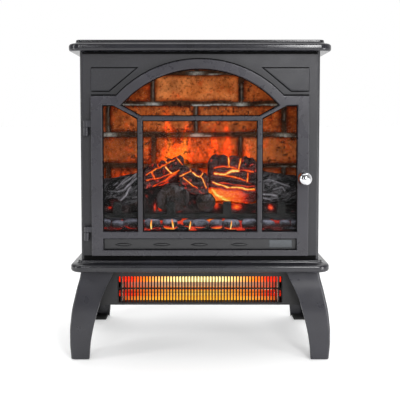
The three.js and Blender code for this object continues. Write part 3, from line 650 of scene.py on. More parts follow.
def front_panel():
    low, high = box_mm("front_panel")
    face = low.y + FIELD_RAISE
    flat_x = high.x - BODY_CORNER
    outline = rectangle(-flat_x, flat_x, low.z, high.z)
    doorway = arched(197, 249, 160, 212, 48)
    control_slot = rectangle(-184, 184, 222.5, 238.2)
    magnet_slot = rectangle(198.7, 209.3, 287.7, 312.3)
    sheet = plate([outline, doorway, control_slot, magnet_slot], face, face + SHEET, 0.3, 1)
    side = corner_return(high.x, face, high.y, low.z, high.z)
    field = corner_field(face)
    return together(sheet, side, mirrored(side), field, mirrored(field))


def side_panel():
    """A side wall with its rolled rear edge, on the right-hand side."""
    low, high = box_mm("side_panel_right")
    centre_x, centre_y = high.x - BODY_CORNER, high.y - BODY_CORNER
    inner = BODY_CORNER - SHEET
    outside = arc(centre_x, centre_y, BODY_CORNER, BODY_CORNER, 0, 90, 8)
    inside = arc(centre_x, centre_y, inner, inner, 90, 0, 8)
    rear_edge = [(low.x, high.y), (low.x, high.y - SHEET)]
    outline = [(high.x, low.y), *outside, *rear_edge, *inside, (high.x - SHEET, low.y)]
    return prism(outline, low.z, high.z)


def screw_head(x, y, z):
    """A dished pan-head screw that faces the rear."""
    profile = [(4.2, 0), (4.1, 0.7), (3.4, 1.5), (2.2, 2.0), (1.5, 1.7), (0.6, 1.1)]
    vertices, faces = lathe(profile, 20, (0, 0, 0))
    vertices[:, 1] *= -1
    return vertices + np.array((x, y, z)), faces


VENT_ROWS = 10
VENT_PITCH = 16
VENT_LOWEST = 310
VENT_X = (-95, 0, 95)
VENT_HALF_LENGTH = 36
VENT_RADIUS = 2


def back_cover():
    low, high = box_mm("back_cover")
    gland_low, gland_high = box_mm("cord_gland")
    gland = disc((gland_low.x + gland_high.x) / 2, (gland_low.z + gland_high.z) / 2, 7.8)
    slots = []
    for row in range(VENT_ROWS):
        z = VENT_LOWEST + row * VENT_PITCH + VENT_RADIUS
        for x in VENT_X:
            right_end = arc(x + VENT_HALF_LENGTH, z, VENT_RADIUS, VENT_RADIUS, -90, 90, 6)
            left_end = arc(x - VENT_HALF_LENGTH, z, VENT_RADIUS, VENT_RADIUS, 90, 270, 6)
            slots.append(right_end + left_end)
    return plate([rectangle(low.x, high.x, low.z, high.z), gland, *slots], low.y, high.y, 0.3, 1)


def cover_screws():
    low, high = box_mm("back_cover")
    levels = (low.z + 12, (low.z + high.z) / 2, high.z - 12)
    spots = [(x, z) for x in (low.x + 9, high.x - 9) for z in levels]
    spots += [(-75, high.z - 10), (75, high.z - 10)]
    return together(*(screw_head(x, high.y, z) for x, z in spots))


def ribbon(path, width):
    """The outline of a narrow strip along an open path."""
    sides = ([], [])
    for i, (x, z) in enumerate(path):
        before, after = path[max(i - 1, 0)], path[min(i + 1, len(path) - 1)]
        normals = []
        for (ax, az), (bx, bz) in ((before, (x, z)), ((x, z), after)):
            length = math.hypot(bx - ax, bz - az)
            if length:
                normals.append(Vector(((az - bz) / length, (bx - ax) / length)))
        normal = sum(normals, Vector((0, 0))).normalized()
        reach = width / 2 / normal.dot(normals[0])
        sides[0].append((x + normal.x * reach, z + normal.y * reach))
        sides[1].append((x - normal.x * reach, z - normal.y * reach))
    return sides[0] + sides[1][::-1]


def painted_shadow_strips():
    """Black strips that paint the shadows round the door, under the top slab and over the base, and the
    shadow lines along the raised fields' edges.
    """
    low, high = box_mm("front_panel")
    face = low.y + FIELD_RAISE
    flat_x = high.x - BODY_CORNER
    door_low, door_high = box_mm("door_frame")
    outer = arched(door_high.x + 1.0, door_low.z - 1, 166, 228.2)
    inner = arched(door_high.x - 6, door_low.z + 5, 162, 219)
    door_edge_shadow = plate([outer, inner], door_high.y + 0.1, face, 0.2, 1)
    base = plate([rectangle(-flat_x, flat_x, low.z + 0.2, door_low.z - 1.4)], face - 0.9, face, 0.2, 1)
    top = plate([rectangle(-flat_x, flat_x, high.z - 4.2, high.z - 0.2)], face - 0.9, face, 0.2, 1)
    field_edge_shadows = []
    for sx in (-1, 1):
        path = [(sx * x, z) for x, z in ((215, 579.8), (124, 579.8), (180, 533.2), (215, 533.2))]
        field_edge_shadows.append(plate([ribbon(path, 2.0)], face - 0.35, face, 0.1, 1))
    return together(door_edge_shadow, base, top, *field_edge_shadows)


# Painted shadows: black strips where shade falls round the door, under the top slab, over the base and along
# the fields.
piece("front_panel_shadow_strips", painted_shadow_strips(), SHADOW_BLACK)
piece("front_panel_sheet", front_panel(), SHADED_PANEL_PAINT, stands_for="front_panel", sharp=25)
side_wall = side_panel()
panels = (
    ("side_panel_right", side_wall),
    ("side_panel_left", mirrored(side_wall)),
    ("back_cover", back_cover()),
)
for name, shape in panels:
    piece(f"{name}_sheet", shape, SHADED_PANEL_PAINT, stands_for=name)
piece("back_cover_screws", cover_screws(), ZINC)


# ---- Door: a frame with glazing bars, one sheet of glass behind the bars, and a ball knob.
BAR_DEPTH = 6.5
STILE_X = 192
RAIL_Z = 255.5
BAR_X = 118
BAR_HALF = 4.7
CROSS_Z = 480
CROSS_HALF = 4.4
# Width of the black bead inside each opening of the door: a seal drawn as a painted shadow line.
SHADOW_SEAL = 1.7
SLOT = (-191.5, 191.5, 219, 241.6)
DOOR_EASE = 1.9
SIDE_LIGHT_TOP = 505.5
SIDE_LIGHT_TOP_X = 171.4
SIDE_LIGHT_NEAR_Z = 480.4
ARCH_LIGHT_RADIUS = 206.6
ARCH_LIGHT_SPRING_X = 156.4
ARCH_LIGHT_FOOT_X = 117.4


def door_lights(shadow_seal=0.0):
    """Two side lights, the centre light and the arched light, each narrowed by the width of its black bead,
    a seal drawn as a painted shadow line.
    """
    near, far = BAR_X + BAR_HALF + shadow_seal, STILE_X - shadow_seal
    low, top = RAIL_Z + shadow_seal, SIDE_LIGHT_TOP - shadow_seal
    side = [(near, low), (far, low), (far, top), (SIDE_LIGHT_TOP_X - shadow_seal, top)]
    side.append((near, SIDE_LIGHT_NEAR_Z - 1.4 * shadow_seal))
    reach = BAR_X - BAR_HALF - shadow_seal
    centre = rectangle(-reach, reach, low, CROSS_Z - CROSS_HALF - shadow_seal)
    radius = ARCH_LIGHT_RADIUS - shadow_seal
    start = math.degrees(math.acos((ARCH_LIGHT_SPRING_X - 1.9 * shadow_seal) / radius))
    level = CROSS_Z + CROSS_HALF + shadow_seal
    foot = ARCH_LIGHT_FOOT_X - 0.5 * shadow_seal
    arch = [(-foot, level), (foot, level)] + arc(0, ARCH_Z, radius, radius, start, 180 - start, 40)
    return [side, [(-x, z) for x, z in side], centre, arch]


def door_frame():
    low, high = box_mm("door_frame")
    outline = arched(high.x, low.z, 165, 225.5)
    back = low.y + BAR_DEPTH
    face = plate([outline, rectangle(*SLOT), *door_lights()], low.y, back, DOOR_EASE, 4)
    pocket = arched(203, 246, 166, 217)
    rim = plate([outline, rectangle(*SLOT), pocket], back - 0.4, high.y, 0.4, 1)
    return together(face, rim)


def pane_shadow_seals():
    """Black seal beads inside every opening of the frame, drawn as a thin painted shadow line where the bars
    meet the glass.
    """
    low, high = box_mm("door_frame")
    x0, x1, z0, z1 = SLOT
    slot = rectangle(x0 + 0.9, x1 - 0.9, z0 + 0.9, z1 - 0.9)
    outline = arched(high.x - 4, low.z + 4, 165, 221)
    back = low.y + BAR_DEPTH
    return plate([outline, slot, *door_lights(SHADOW_SEAL)], back - 1.6, back + 0.1, 0.2, 1)


def door_knob():
    low, high = box_mm("door_knob")
    radius = (high.x - low.x) / 2
    centre = ((low.x + high.x) / 2, high.y, (low.z + high.z) / 2)
    reach = high.y - low.y - radius
    collar = [(9, 0), (9, 0.9), (8.6, 1.4), (6, 1.4)]
    ball = arc(0, reach, radius, radius, -64, 90, 26)[:-1]
    return lathe([*collar, *ball, (0.2, reach + radius)], 64, centre)


glass_low, glass_high = box_mm("door_glass")
glass_outline = arched(glass_high.x, glass_low.z, 165.5, 216)
glass_sheet = plate([glass_outline], glass_low.y, glass_high.y, 0.3, 1)
door_pieces = (
    ("pane_shadow_seals", pane_shadow_seals(), SHADOW_BLACK, "rubber", ()),
    ("door_frame_casting", door_frame(), LIT_DOOR_PAINT, "charcoal_paint", "door_frame"),
    ("door_glass_sheet", glass_sheet, GLASS, "glass", "door_glass"),
    ("door_knob_ball", door_knob(), CHROME, "chrome", "door_knob"),
)
for name, shape, material, slot, node in door_pieces:
    piece(name, shape, material, "door", node, sharp=28)


# ---- Controls behind the slot in the bottom rail.
BUTTONS = ("power", "flame", "heat", "timer")


def lens_outline(x, z, half_x, half_z):
    """Two parabolas that meet in a point at the left and the right."""
    upper = [(t, 1 - t * t) for t in np.linspace(1, -1, 17)[:-1]]
    lower = [(-u, -v) for u, v in upper]
    return [(x + half_x * u, z + half_z * v) for u, v in upper + lower]


def lens_cap(node):
    """A button shaped like a lens, crowned towards the front."""
    low, high = box_mm(node)
    middle, half = (low + high) / 2, (high - low) / 2
    rings = []
    for size, behind in ((1, high.y - low.y), (1, 1.6), (0.94, 0.9), (0.7, 0.35), (0.3, 0), (0.02, 0)):
        outline = lens_outline(middle.x, middle.z, half.x * size, half.z * size)
        rings.append([(x, low.y + behind, z) for x, z in outline])
    return loft(rings)


def control_fascia():
    """A moulded strip with a lens-shaped opening for each button and a window."""
    low, high = box_mm("control_fascia")
    gap = 0.4
    window_low, window_high = box_mm("display_window")
    window = rectangle(window_low.x - gap, window_high.x + gap, window_low.z - gap, window_high.z + gap)
    openings = []
    for name in BUTTONS:
        cap_low, cap_high = box_mm(f"button_{name}")
        middle, half = (cap_low + cap_high) / 2, (cap_high - cap_low) / 2
        openings.append(lens_outline(middle.x, middle.z, half.x + 1.8, half.z + 0.8))
    return plate([rectangle(low.x, high.x, low.z, high.z), *openings, window], low.y, low.y + 2, 0.25, 1)


piece("control_fascia_strip", control_fascia(), GREY_PLASTIC, stands_for="control_fascia")

for name in BUTTONS:
    node = f"button_{name}"
    piece(f"{node}_cap", lens_cap(node), GREY_PLASTIC, node, node, sharp=60)


def display_finish():
    """A blank grey display, paler towards its top as a painted sheen, with faint smears."""
    finish = Finish("display", roughness=0.2)
    low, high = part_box("display_window")
    # Painted sheen: the pane paler towards its top.
    tone = finish.range(finish.along("Z"), low.z, high.z, 0, 1)
    pale = finish.mix(tone, rgb(58, 61, 64), rgb(80, 84, 88))
    smear = finish.range(finish.noise(5, 2), 0.4, 0.7, 0, 0.3)
    finish.to("Base Color", finish.mix(smear, pale, rgb(50, 53, 56)))
    return finish.material


display_low, display_high = box_mm("display_window")
display_outline = rectangle(display_low.x, display_high.x, display_low.z, display_high.z)
display_shape = plate([display_outline], display_low.y, display_high.y, 0.3, 2)
piece("display_pane", display_shape, display_finish(), stands_for="display_window")


# ---- Brick screen: a moulded relief with flame light playing on it.
FIRST_BED = 307.5
COURSE = 66.5
BRICK_LENGTH = 189
JOINT = 9
FIRST_HEADS = (-197, -101)
# Tongues of light: middle, half width, top, strength.
TONGUES = (
    (-104, 12, 428, 0.35),
    (-68, 9, 498, 0.85),
    (-54, 6, 446, 0.4),
    (-32, 9, 476, 0.8),
    (27, 7, 470, 0.36),
    (58, 8, 484, 0.44),
    (97, 9, 440, 0.42),
)
# How pale each brick is, by course from the lowest and then from left to right.
BRICK_TONES = (
    (0.1, 0.15, 0.25, 0.1),
    (0.2, 0.2, 0.5, 0.25),
    (0.35, 0.3, 0.2, 0.1),
    (0.0, 1.0, 0.35, 0.2),
    (0.15, 0.35, 0.3, 0.2),
    (0.2, 0.3, 0.2, 0.3),
)


def flame_light(x, z):
    """How strongly the flames light the bricks, from 0 to about 1."""
    spread = step(0, 1, 1 - np.hypot(x / 150, (z - 372) / 118))
    glow = 0.36 * spread**0.8
    for middle, half, top, strength in TONGUES:
        sway = middle + 3 * np.sin(z / 17 + middle)
        width = half * (0.6 + 0.8 * step(top, 380, z))
        tongue = np.exp(-(((x - sway) / width) ** 2)) * step(top + 12, top - 45, z)
        glow = glow + strength * tongue
    glow = glow + 0.5 * np.exp(-(((x + 166) / 24) ** 2) - ((z - 354) / 12) ** 2)
    return np.clip(glow, 0, 1.15)


def grid_faces(rows, columns):
    """Four-sided faces over a grid of points, and the points' numbers."""
    index = np.arange(rows * columns).reshape(rows, columns)
    corners = (index[:-1, :-1], index[:-1, 1:], index[1:, 1:], index[1:, :-1])
    return [tuple(face) for face in np.stack(corners, -1).reshape(-1, 4).tolist()], index


def padded(layers, count):
    """Layers of a grid of points, with noughts for the points that follow the grid."""
    return {name: np.concatenate((values.ravel(), np.zeros(count))) for name, values in layers.items()}


def brick_screen():
    """A grid of points pushed out where a brick is, with layers for the material below."""
    low, high = box_mm("brick_screen")
    x, z = np.meshgrid(np.linspace(low.x, high.x, 303), np.linspace(low.z, high.z, 247))
    here = np.stack((x, np.zeros_like(x), z), -1)
    zw = z + 2.2 * noise(here, 55, 3, 3)
    xw = x + 2.6 * noise(here, 60, 7, 3)
    course = np.floor((zw - FIRST_BED) / COURSE)
    joint = JOINT + 2.5 * noise(here, 45, 9, 2)
    above = zw - FIRST_BED - course * COURSE
    head = np.where(course % 2 == 0, *FIRST_HEADS)
    beside = np.mod(xw - head + BRICK_LENGTH / 2, BRICK_LENGTH) - BRICK_LENGTH / 2
    column = np.floor((xw - head + BRICK_LENGTH / 2) / BRICK_LENGTH) + 0 * course
    inset = np.minimum(np.minimum(above - joint, COURSE - above), np.abs(beside) - joint / 2)
    inset = inset + 1.1 * noise(here, 7, 11, 3)
    brick = step(-0.5, 2.6, inset)
    number = np.where(beside > 0, column, column - 1) + 1
    tones = np.array(BRICK_TONES)
    tone = tones[np.clip(course, 0, len(tones) - 1).astype(int), np.clip(number, 0, 3).astype(int)]
    tone = tone + 0.15 * noise(here, 30, 29, 3)
    pits = step(0.16, 0.45, noise(here, 5.5, 17, 3)) * step(0.0, 0.5, noise(here, 60, 19, 2) + 0.45)
    pits = pits * (1 - 0.6 * step(0.5, 1.0, tone))
    rough = noise(here, 13, 13, 5)
    # Pale mortar: the lip along the lower edge of each bed joint is a painted highlight, where light from
    # above catches the top of the brick below; the fillets under the head joints and the streaks are pale
    # mortar.
    lip = step(joint * 0.5, joint * 0.2, above) * step(0.0, 0.3, noise(here, 52, 23, 3) - 0.04)
    fillet = np.exp(-((beside / 13) ** 2)) * step(joint * 1.1, joint * 0.5, above)
    streak = 0.3 * np.exp(-(((beside - 1) / 1.5) ** 2)) * step(-0.1, 0.3, noise(here, 26, 37, 3))
    pale = np.clip(np.maximum(np.maximum(0.85 * lip, fillet), streak), 0, 1) * (1 - brick)
    light = flame_light(x, z)
    pale = pale * (1 - 0.85 * step(0.12, 0.4, light))
    # The edge layer runs from 0 at a brick's joints to 1 inside it; the material paints shade along the
    # joints with it.
    edge = step(0, 11, inset + 3 * rough)
    depth = low.y + 1.5 - 4.6 * brick - 0.7 * rough * brick + 1.1 * pits * brick - 1.4 * pale
    front = np.stack((x, depth, z), -1).reshape(-1, 3)
    faces, index = grid_faces(*x.shape)
    rim = [*index[0], *index[1:, -1], *index[-1, -2::-1], *index[-2:0:-1, 0]]
    back = np.array([(front[i][0], high.y, front[i][2]) for i in rim])
    start = len(front)
    size = len(rim)
    faces += [(rim[i], rim[(i + 1) % size], start + (i + 1) % size, start + i) for i in range(size)]
    faces.append(tuple(range(start, start + size)))
    layers = {"edge": edge, "brick": brick, "tone": tone, "pits": pits, "pale": pale, "firelight": light}
    return (np.concatenate((front, back)), faces), padded(layers, size)


def brick_finish():
    """Weathered brick, darker along its joints as painted shade; dark mortar, pale in patches, with painted
    highlights along the bed joints' lower edges; and a lamp's glow that turns to flame low in the middle.
    """
    finish = Finish("brick relief", roughness=0.8, emission_strength=4.0)
    finish.to("Specular IOR Level", 0.1)
    tone = finish.layer("tone")
    cloud = finish.noise(34, 4, 0.6)
    fleck = finish.noise(6, 5, 0.7)
    brown = finish.mix(tone, rgb(98, 42, 12), rgb(182, 112, 64))
    orange = finish.mix(tone, rgb(134, 58, 16), rgb(168, 92, 44))
    clay = finish.mix(finish.range(cloud, 0.38, 0.62, 0, 1), brown, orange)
    blush = finish.range(finish.noise(19, 4, 0.6), 0.54, 0.68, 0, 0.5)
    marks = (
        (blush, rgb(204, 72, 22)),
        (finish.range(fleck, 0.55, 0.68, 0, 0.55), rgb(190, 124, 66)),
        (finish.range(fleck, 0.47, 0.34, 0, 0.85), rgb(76, 32, 10)),
        (finish.range(finish.layer("pits"), 0, 1, 0, 0.85), rgb(48, 22, 10)),
    )
    for share, colour in marks:
        clay = finish.mix(share, clay, colour)
    # Painted shade: each brick darker in a band along its joints.
    joint_shade = finish.mix(1.0, clay, rgb(176, 140, 122), "MULTIPLY")
    clay = finish.mix(finish.layer("edge"), joint_shade, clay)
    sooty = finish.range(finish.noise(27, 4, 0.62), 0.36, 0.6, 0.72, 1.25)
    clay = finish.mix(1.0, clay, sooty, "MULTIPLY")
    earth = finish.mix(finish.range(finish.noise(9, 4), 0.35, 0.65, 0, 1), rgb(26, 15, 9), rgb(62, 42, 28))
    # Pale mortar, with the painted highlights along the bed joints' lower edges.
    pale = finish.math("MULTIPLY", finish.layer("pale"), finish.range(fleck, 0.4, 0.55, 0.35, 1))
    mortar = finish.mix(pale, earth, rgb(150, 156, 160))
    surface = finish.mix(finish.layer("brick"), mortar, clay)
    finish.to("Base Color", surface)
    drift = finish.vary(finish.noise(26, 4, 0.55, (1, 1, 0.35)), 0.8, 1.18)
    heat = finish.math("MULTIPLY", finish.layer("firelight"), drift)
    lamp = finish.ramp(
        heat,
        (0.0, (0.11, 0.0825, 0.05, 1)),
        (0.25, (0.375, 0.125, 0.035, 1)),
        (0.6, (1.2, 0.325, 0.05, 1)),
        (1.0, (1.0, 0.75, 0.2, 1)),
    )
    finish.to("Emission Color", finish.mix(1.0, surface, lamp, "MULTIPLY"))
    finish.bump(finish.noise(2.4, 5, 0.7), 0.6, 0.8)
    return finish.material


def moulding(name, made, material, stands_for=()):
    """A piece without sharp edges, from a shape and its layers."""
    shape, layers = made
    piece(name, shape, material, stands_for=stands_for, sharp=180, layers=layers)


moulding("brick_relief", brick_screen(), brick_finish(), "brick_screen")


# ---- Logs. Each is a lumpy column inside its CAD node's box; cracks are lines in X and Z.
CRACKS = {
    "log_charred_left": (
        ([(-95, 392), (-85.7, 379.3)], 1.6, 0.68),
        ([(-79.3, 402), (-74, 393), (-69.6, 385.7)], 2.0, 0.85),
        ([(-113, 362), (-101, 369.7), (-85.7, 379.3), (-69.6, 385.7), (-53, 395.4)], 1.9, 0.72),
        ([(-49.2, 399), (-42, 390), (-33.9, 380.7)], 1.7, 0.72),
        ([(-71, 380), (-66, 373), (-60.6, 365.9)], 2.2, 0.95),
        ([(-101, 369.7), (-98, 361), (-95.3, 353)], 3.0, 0.66),
        ([(-112, 352), (-95.3, 353), (-72, 360), (-49.2, 368.5), (-36, 374)], 1.9, 0.62),
        ([(-94, 338), (-72, 352), (-50.4, 365.9)], 3.4, 0.56),
        ([(-93, 331), (-68.4, 346)], 2.8, 0.52),
    ),
    "log_leaning": (
        ([(-26, 386), (-18.5, 373.7), (-33.9, 364.7), (-46, 360)], 1.9, 0.8),
        ([(-15.9, 370.5), (-1.8, 362)], 2.3, 0.95),
        ([(-33.9, 358.2), (-17.3, 345.6), (-6, 338)], 1.8, 0.75),
        ([(5, 382), (10, 372.9), (1.8, 363.4), (9.2, 347.2), (12, 338)], 1.9, 0.86),
        ([(10, 372.9), (20, 366)], 1.8, 0.7),
    ),
    "log_glowing_right": (
        ([(60.4, 402), (60.4, 381)], 2.2, 0.82),
        ([(85.5, 398), (80.5, 376.9)], 2.2, 0.82),
        ([(30, 378), (51.4, 380.9), (79.5, 375.7), (112, 369.5)], 2.6, 0.62),
        ([(31.3, 365), (49, 364), (64, 370), (80, 371.7)], 3.4, 0.93),
        ([(98.7, 368), (98, 350)], 2.0, 0.78),
        ([(52, 362), (60, 360.6), (93.3, 352.6)], 2.0, 0.7),
        ([(27.3, 347.2), (42, 341), (59.4, 336.5), (112, 330.5)], 2.8, 0.9),
        ([(40, 347), (75, 341), (112, 337)], 1.8, 0.5),
    ),
}
# Block edges that hold no light, so the surface there is only split.
SPLITS = {
    "log_charred_left": (
        [(-106, 384), (-101, 370)],
        [(-58, 399), (-62, 392)],
        [(-84, 380), (-78, 358)],
    ),
    "log_leaning": ([(-6, 376), (-12, 352)],),
    "log_glowing_right": (
        [(28, 354), (70, 346), (115, 340)],
        [(40, 400), (38, 380)],
        [(104, 392), (96, 376)],
    ),
}
# How far each log's moulding swells past its core: left, right, down, up.
SWELL = {
    "log_left": (0, 9, 4, 11),
    "log_right": (4, 0, 6, 12),
    "log_end_left": (9, 11, 2, 9),
    "log_end_right": (5, 7, 2, 10),
    "log_charred_left": (0, 4, 14, 7),
    "log_leaning": (3, 4, 16, 7),
    "log_glowing_right": (3, 4, 5, 15),
}


def log_grid(node, along, rise, stations, sides, fullness, taper=0.1, waist=0.55):
    """Points on a column in a node's box that lies along X (0) or Y (1), and each one's way outwards."""
    low, high = box_mm(node)
    left, right, down, up = SWELL[node]
    low = low - Vector((left, 0, down))
    high = high + Vector((right, 0, up))
    middle, half = (low + high) / 2, (high - low) / 2
    t, turn = np.meshgrid(np.linspace(-1, 1, stations), np.arange(sides) * TURN / sides, indexing="ij")
    ends = np.clip((1 - np.abs(t)) / taper, 0, 1)
    size = fullness * np.sqrt(1 - (1 - ends) ** 2 * waist)
    across = 1 - along
    away = np.zeros((stations, sides, 3))
    away[..., across] = np.cos(turn)
    away[..., 2] = np.sin(turn)
    points = np.zeros_like(away)
    points[..., along] = middle[along] + half[along] * t
    points[..., across] = middle[across] + half[across] * size * np.cos(turn)
    points[..., 2] = middle.z + (half.z - abs(rise) / 2) * size * np.sin(turn) + rise / 2 * t
    return points, away


def closed_column(points):
    """Faces over a column of points, with a fan to a middle point at each end."""
    stations, sides = points.shape[:2]
    vertices, faces = loft(points, caps=False)
    for ring, end in ((0, points[0]), (stations - 1, points[-1])):
        centre = len(vertices)
        vertices = np.vstack((vertices, end.mean(0)))
        faces += [(ring * sides + j, ring * sides + (j + 1) % sides, centre) for j in range(sides)]
    return vertices, faces


def glowing_column(points, ash, heat):
    """A closed column's shape, with the two layers that its charred material reads."""
    layers = {}
    for name, values in (("ash", ash), ("embers", heat)):
        layers[name] = np.concatenate((values.ravel(), (values[0].mean(), values[-1].mean())))
    return closed_column(points), layers


def bark_log(node, rise, seed, strokes):
    """A dark log with long ridges and pale, ashy strokes that follow its grain."""
    points, away = log_grid(node, 0, rise, 84, 150, 0.95)
    x, z = points[..., 0], points[..., 2]
    slant = np.stack((x + 0.6 * z, points[..., 1], z - 0.5 * x), -1)
    ridges = ridged(slant, (34, 9, 9), seed, 4)
    lumps = noise(points, 30, seed + 5, 3)
    chips = step(0.1, 0.5, noise(points, 14, seed + 9, 3))
    ash = 0.2 * step(0.72, 0.98, ridges) + 0.07 * chips
    relief = 2.4 * ridges + 3.4 * lumps - 1.6 * chips
    for path, width, strength in strokes:
        line = np.exp(-((path_distance(x + 1.2 * lumps, z, path) / width) ** 2))
        ash = np.maximum(ash, strength * line)
        relief = relief + 1.6 * line
    heat = 0.22 * step(40, 0, z - box_mm(node)[0].z) * step(0.2, 0.6, noise(points, 22, seed + 2, 2))
    shaped = points + away * (relief - 3.0)[..., None]
    return glowing_column(shaped, np.clip(ash, 0, 1), heat)


def charred_log(node, rise, seed, belly, taper, waist):
    """A burnt log checked into blocks, with glowing cracks between them and a hot belly."""
    points, away = log_grid(node, 0, rise, 130, 230, 0.97, taper, waist)
    x = points[..., 0] + 3.2 * noise(points, 14, seed, 3)
    z = points[..., 2] + 3.2 * noise(points, 14, seed + 3, 3)
    uneven = noise(points, 9, seed + 19, 3)
    heat = np.zeros_like(x)
    nearest = np.full(x.shape, 1e9)
    for path, width, strength in CRACKS[node]:
        gap = path_distance(x, z, path)
        nearest = np.minimum(nearest, gap - width * 0.4)
        thick = width * (0.85 + 0.6 * uneven)
        core = np.exp(-((gap / thick) ** 2)) * (1 + 0.3 * uneven)
        halo = 0.26 * np.exp(-((gap / (width * 2.6)) ** 2))
        heat = np.maximum(heat, 1.12 * strength * np.maximum(core, halo))
    for path in SPLITS[node]:
        nearest = np.minimum(nearest, path_distance(x, z, path))
    rear = step(-0.1, 0.35, away[..., 1])
    blocks = np.sqrt(np.clip(nearest / 7, 0, 1))
    crust = noise(points, 7, seed + 7, 4)
    embers = step(0.08, 0.4, noise(points, 5, seed + 11, 3))
    embers = embers * step(-0.2, 0.3, noise(points, 26, seed + 13, 2))
    heat = np.maximum(heat, 0.34 * embers * step(0.1, 0.7, blocks))
    heat = np.maximum(heat, belly(x, z, crust))
    grain = ridged(points, (26, 5, 5), seed + 17, 3)
    relief = 5.4 * blocks + 1.8 * crust + 1.0 * grain - 3.8
    shaped = points + away * (relief * (1 - rear) + (crust * 2 - 1) * rear)[..., None]
    ash = 0.4 * step(0.45, 0.9, grain) * blocks
    return glowing_column(shaped, ash, np.clip(heat * (1 - rear), 0, 1))


FACE_RINGS = (0.04, 0.14, 0.24, 0.34, 0.44, 0.54, 0.64, 0.74, 0.84, 0.93)


def log_end(node, seed):
    """The sawn, fibrous end of a dark log that lies front to back."""
    points, away = log_grid(node, 1, 4, 70, 130, 0.95)
    front = points[0]
    middle = front.mean(0)
    count = len(FACE_RINGS)
    points = np.concatenate(([middle + (front - middle) * size for size in FACE_RINGS], points))
    away = np.concatenate((np.repeat(away[:1], count, 0), away))
    fade = np.ones((len(points), 1))
    fade[:count] = 0.25
    radius = np.hypot(points[..., 0] - middle[0], points[..., 2] - middle[2])
    fibres = np.stack((9 * away[..., 0], 0.3 * points[..., 1], radius), -1)
    grain = ridged(fibres, 7, seed, 4)
    lumps = noise(points, 20, seed + 1, 4)
    chips = noise(points, 8, seed + 6, 4)
    shaped = points + away * ((2.6 * grain + 4.2 * lumps + 1.6 * chips - 3.2) * fade)[..., None]
    shaped[:count, :, 1] += 3.4 - 2.2 * grain[:count] - 1.8 * lumps[:count]
    level = (points[..., 2] - middle[2]) / (front[:, 2].max() - middle[2])
    ash = 0.8 * step(0.76, 0.98, grain) * step(0.35, 0.95, level) * step(-0.2, 0.4, lumps)
    ash = ash + 0.22 * step(0.72, 0.95, grain)
    heat = 0.3 * step(0.2, 0.9, -level) * step(0.25, 0.6, noise(points, 9, seed + 4, 2))
    return glowing_column(shaped, ash, heat)


def hot_belly(x, z, crust):
    """The underside of the glowing log, yellow along its lower left edge and dark red to the right."""
    edge = path_distance(x, z, [(24, 336), (33, 322), (62, 309)])
    glow = 0.66 * step(337, 328, z - 0.12 * (60 - x)) * step(125, 70, x)
    return np.maximum(glow + 0.12 * crust, 0.95 * np.exp(-((edge / 6) ** 2)) * step(345, 330, z))


def dull_belly(x, z, crust):
    """The underside of the other burnt logs: a dull red in patches."""
    return 0.24 * step(346, 332, z) * step(-0.1, 0.4, crust)


LEFT_STROKES = (
    ([(-160, 345), (-146, 356), (-132, 366)], 1.5, 0.8),
    ([(-172, 338), (-158, 352), (-147, 361)], 1.3, 0.6),
    ([(-154, 336), (-143, 346), (-131, 357)], 1.4, 0.75),
    ([(-168, 330), (-156, 334), (-142, 350), (-133, 362)], 1.4, 0.7),
    ([(-163, 312), (-152, 322), (-147, 334), (-142, 340)], 1.6, 0.85),
    ([(-178, 344), (-170, 350)], 1.3, 0.5),
    ([(-188, 332), (-170, 330)], 1.3, 0.3),
)
RIGHT_STROKES = (
    ([(133, 352), (142, 355), (160, 349), (184, 341)], 1.4, 0.5),
    ([(129, 324), (145, 324), (158, 322)], 1.8, 0.75),
    ([(129, 315), (146, 315), (160, 317)], 1.6, 0.65),
    ([(150, 334), (168, 340), (174, 332)], 1.3, 0.45),
    ([(132, 306), (146, 304)], 1.5, 0.5),
)
LOGS = (
    ("log_left", BARK, "dark_log", bark_log, (14, 31, LEFT_STROKES)),
    ("log_right", BARK, "dark_log", bark_log, (-12, 47, RIGHT_STROKES)),
    ("log_end_left", END_GRAIN, "dark_log", log_end, (53,)),
    ("log_end_right", END_GRAIN, "dark_log", log_end, (59,)),
    ("log_charred_left", CHARCOAL, "glowing_log", charred_log, (33, 61, dull_belly, 0.32, 0.8)),
    ("log_leaning", CHARCOAL, "glowing_log", charred_log, (-20, 67, dull_belly, 0.35, 0.6)),
    ("log_glowing_right", CHARCOAL, "glowing_log", charred_log, (-9, 71, hot_belly, 0.34, 0.72)),
)
for name, material, slot, build, settings in LOGS:
    moulding(f"{name}_moulding", build(name, *settings), material, name)


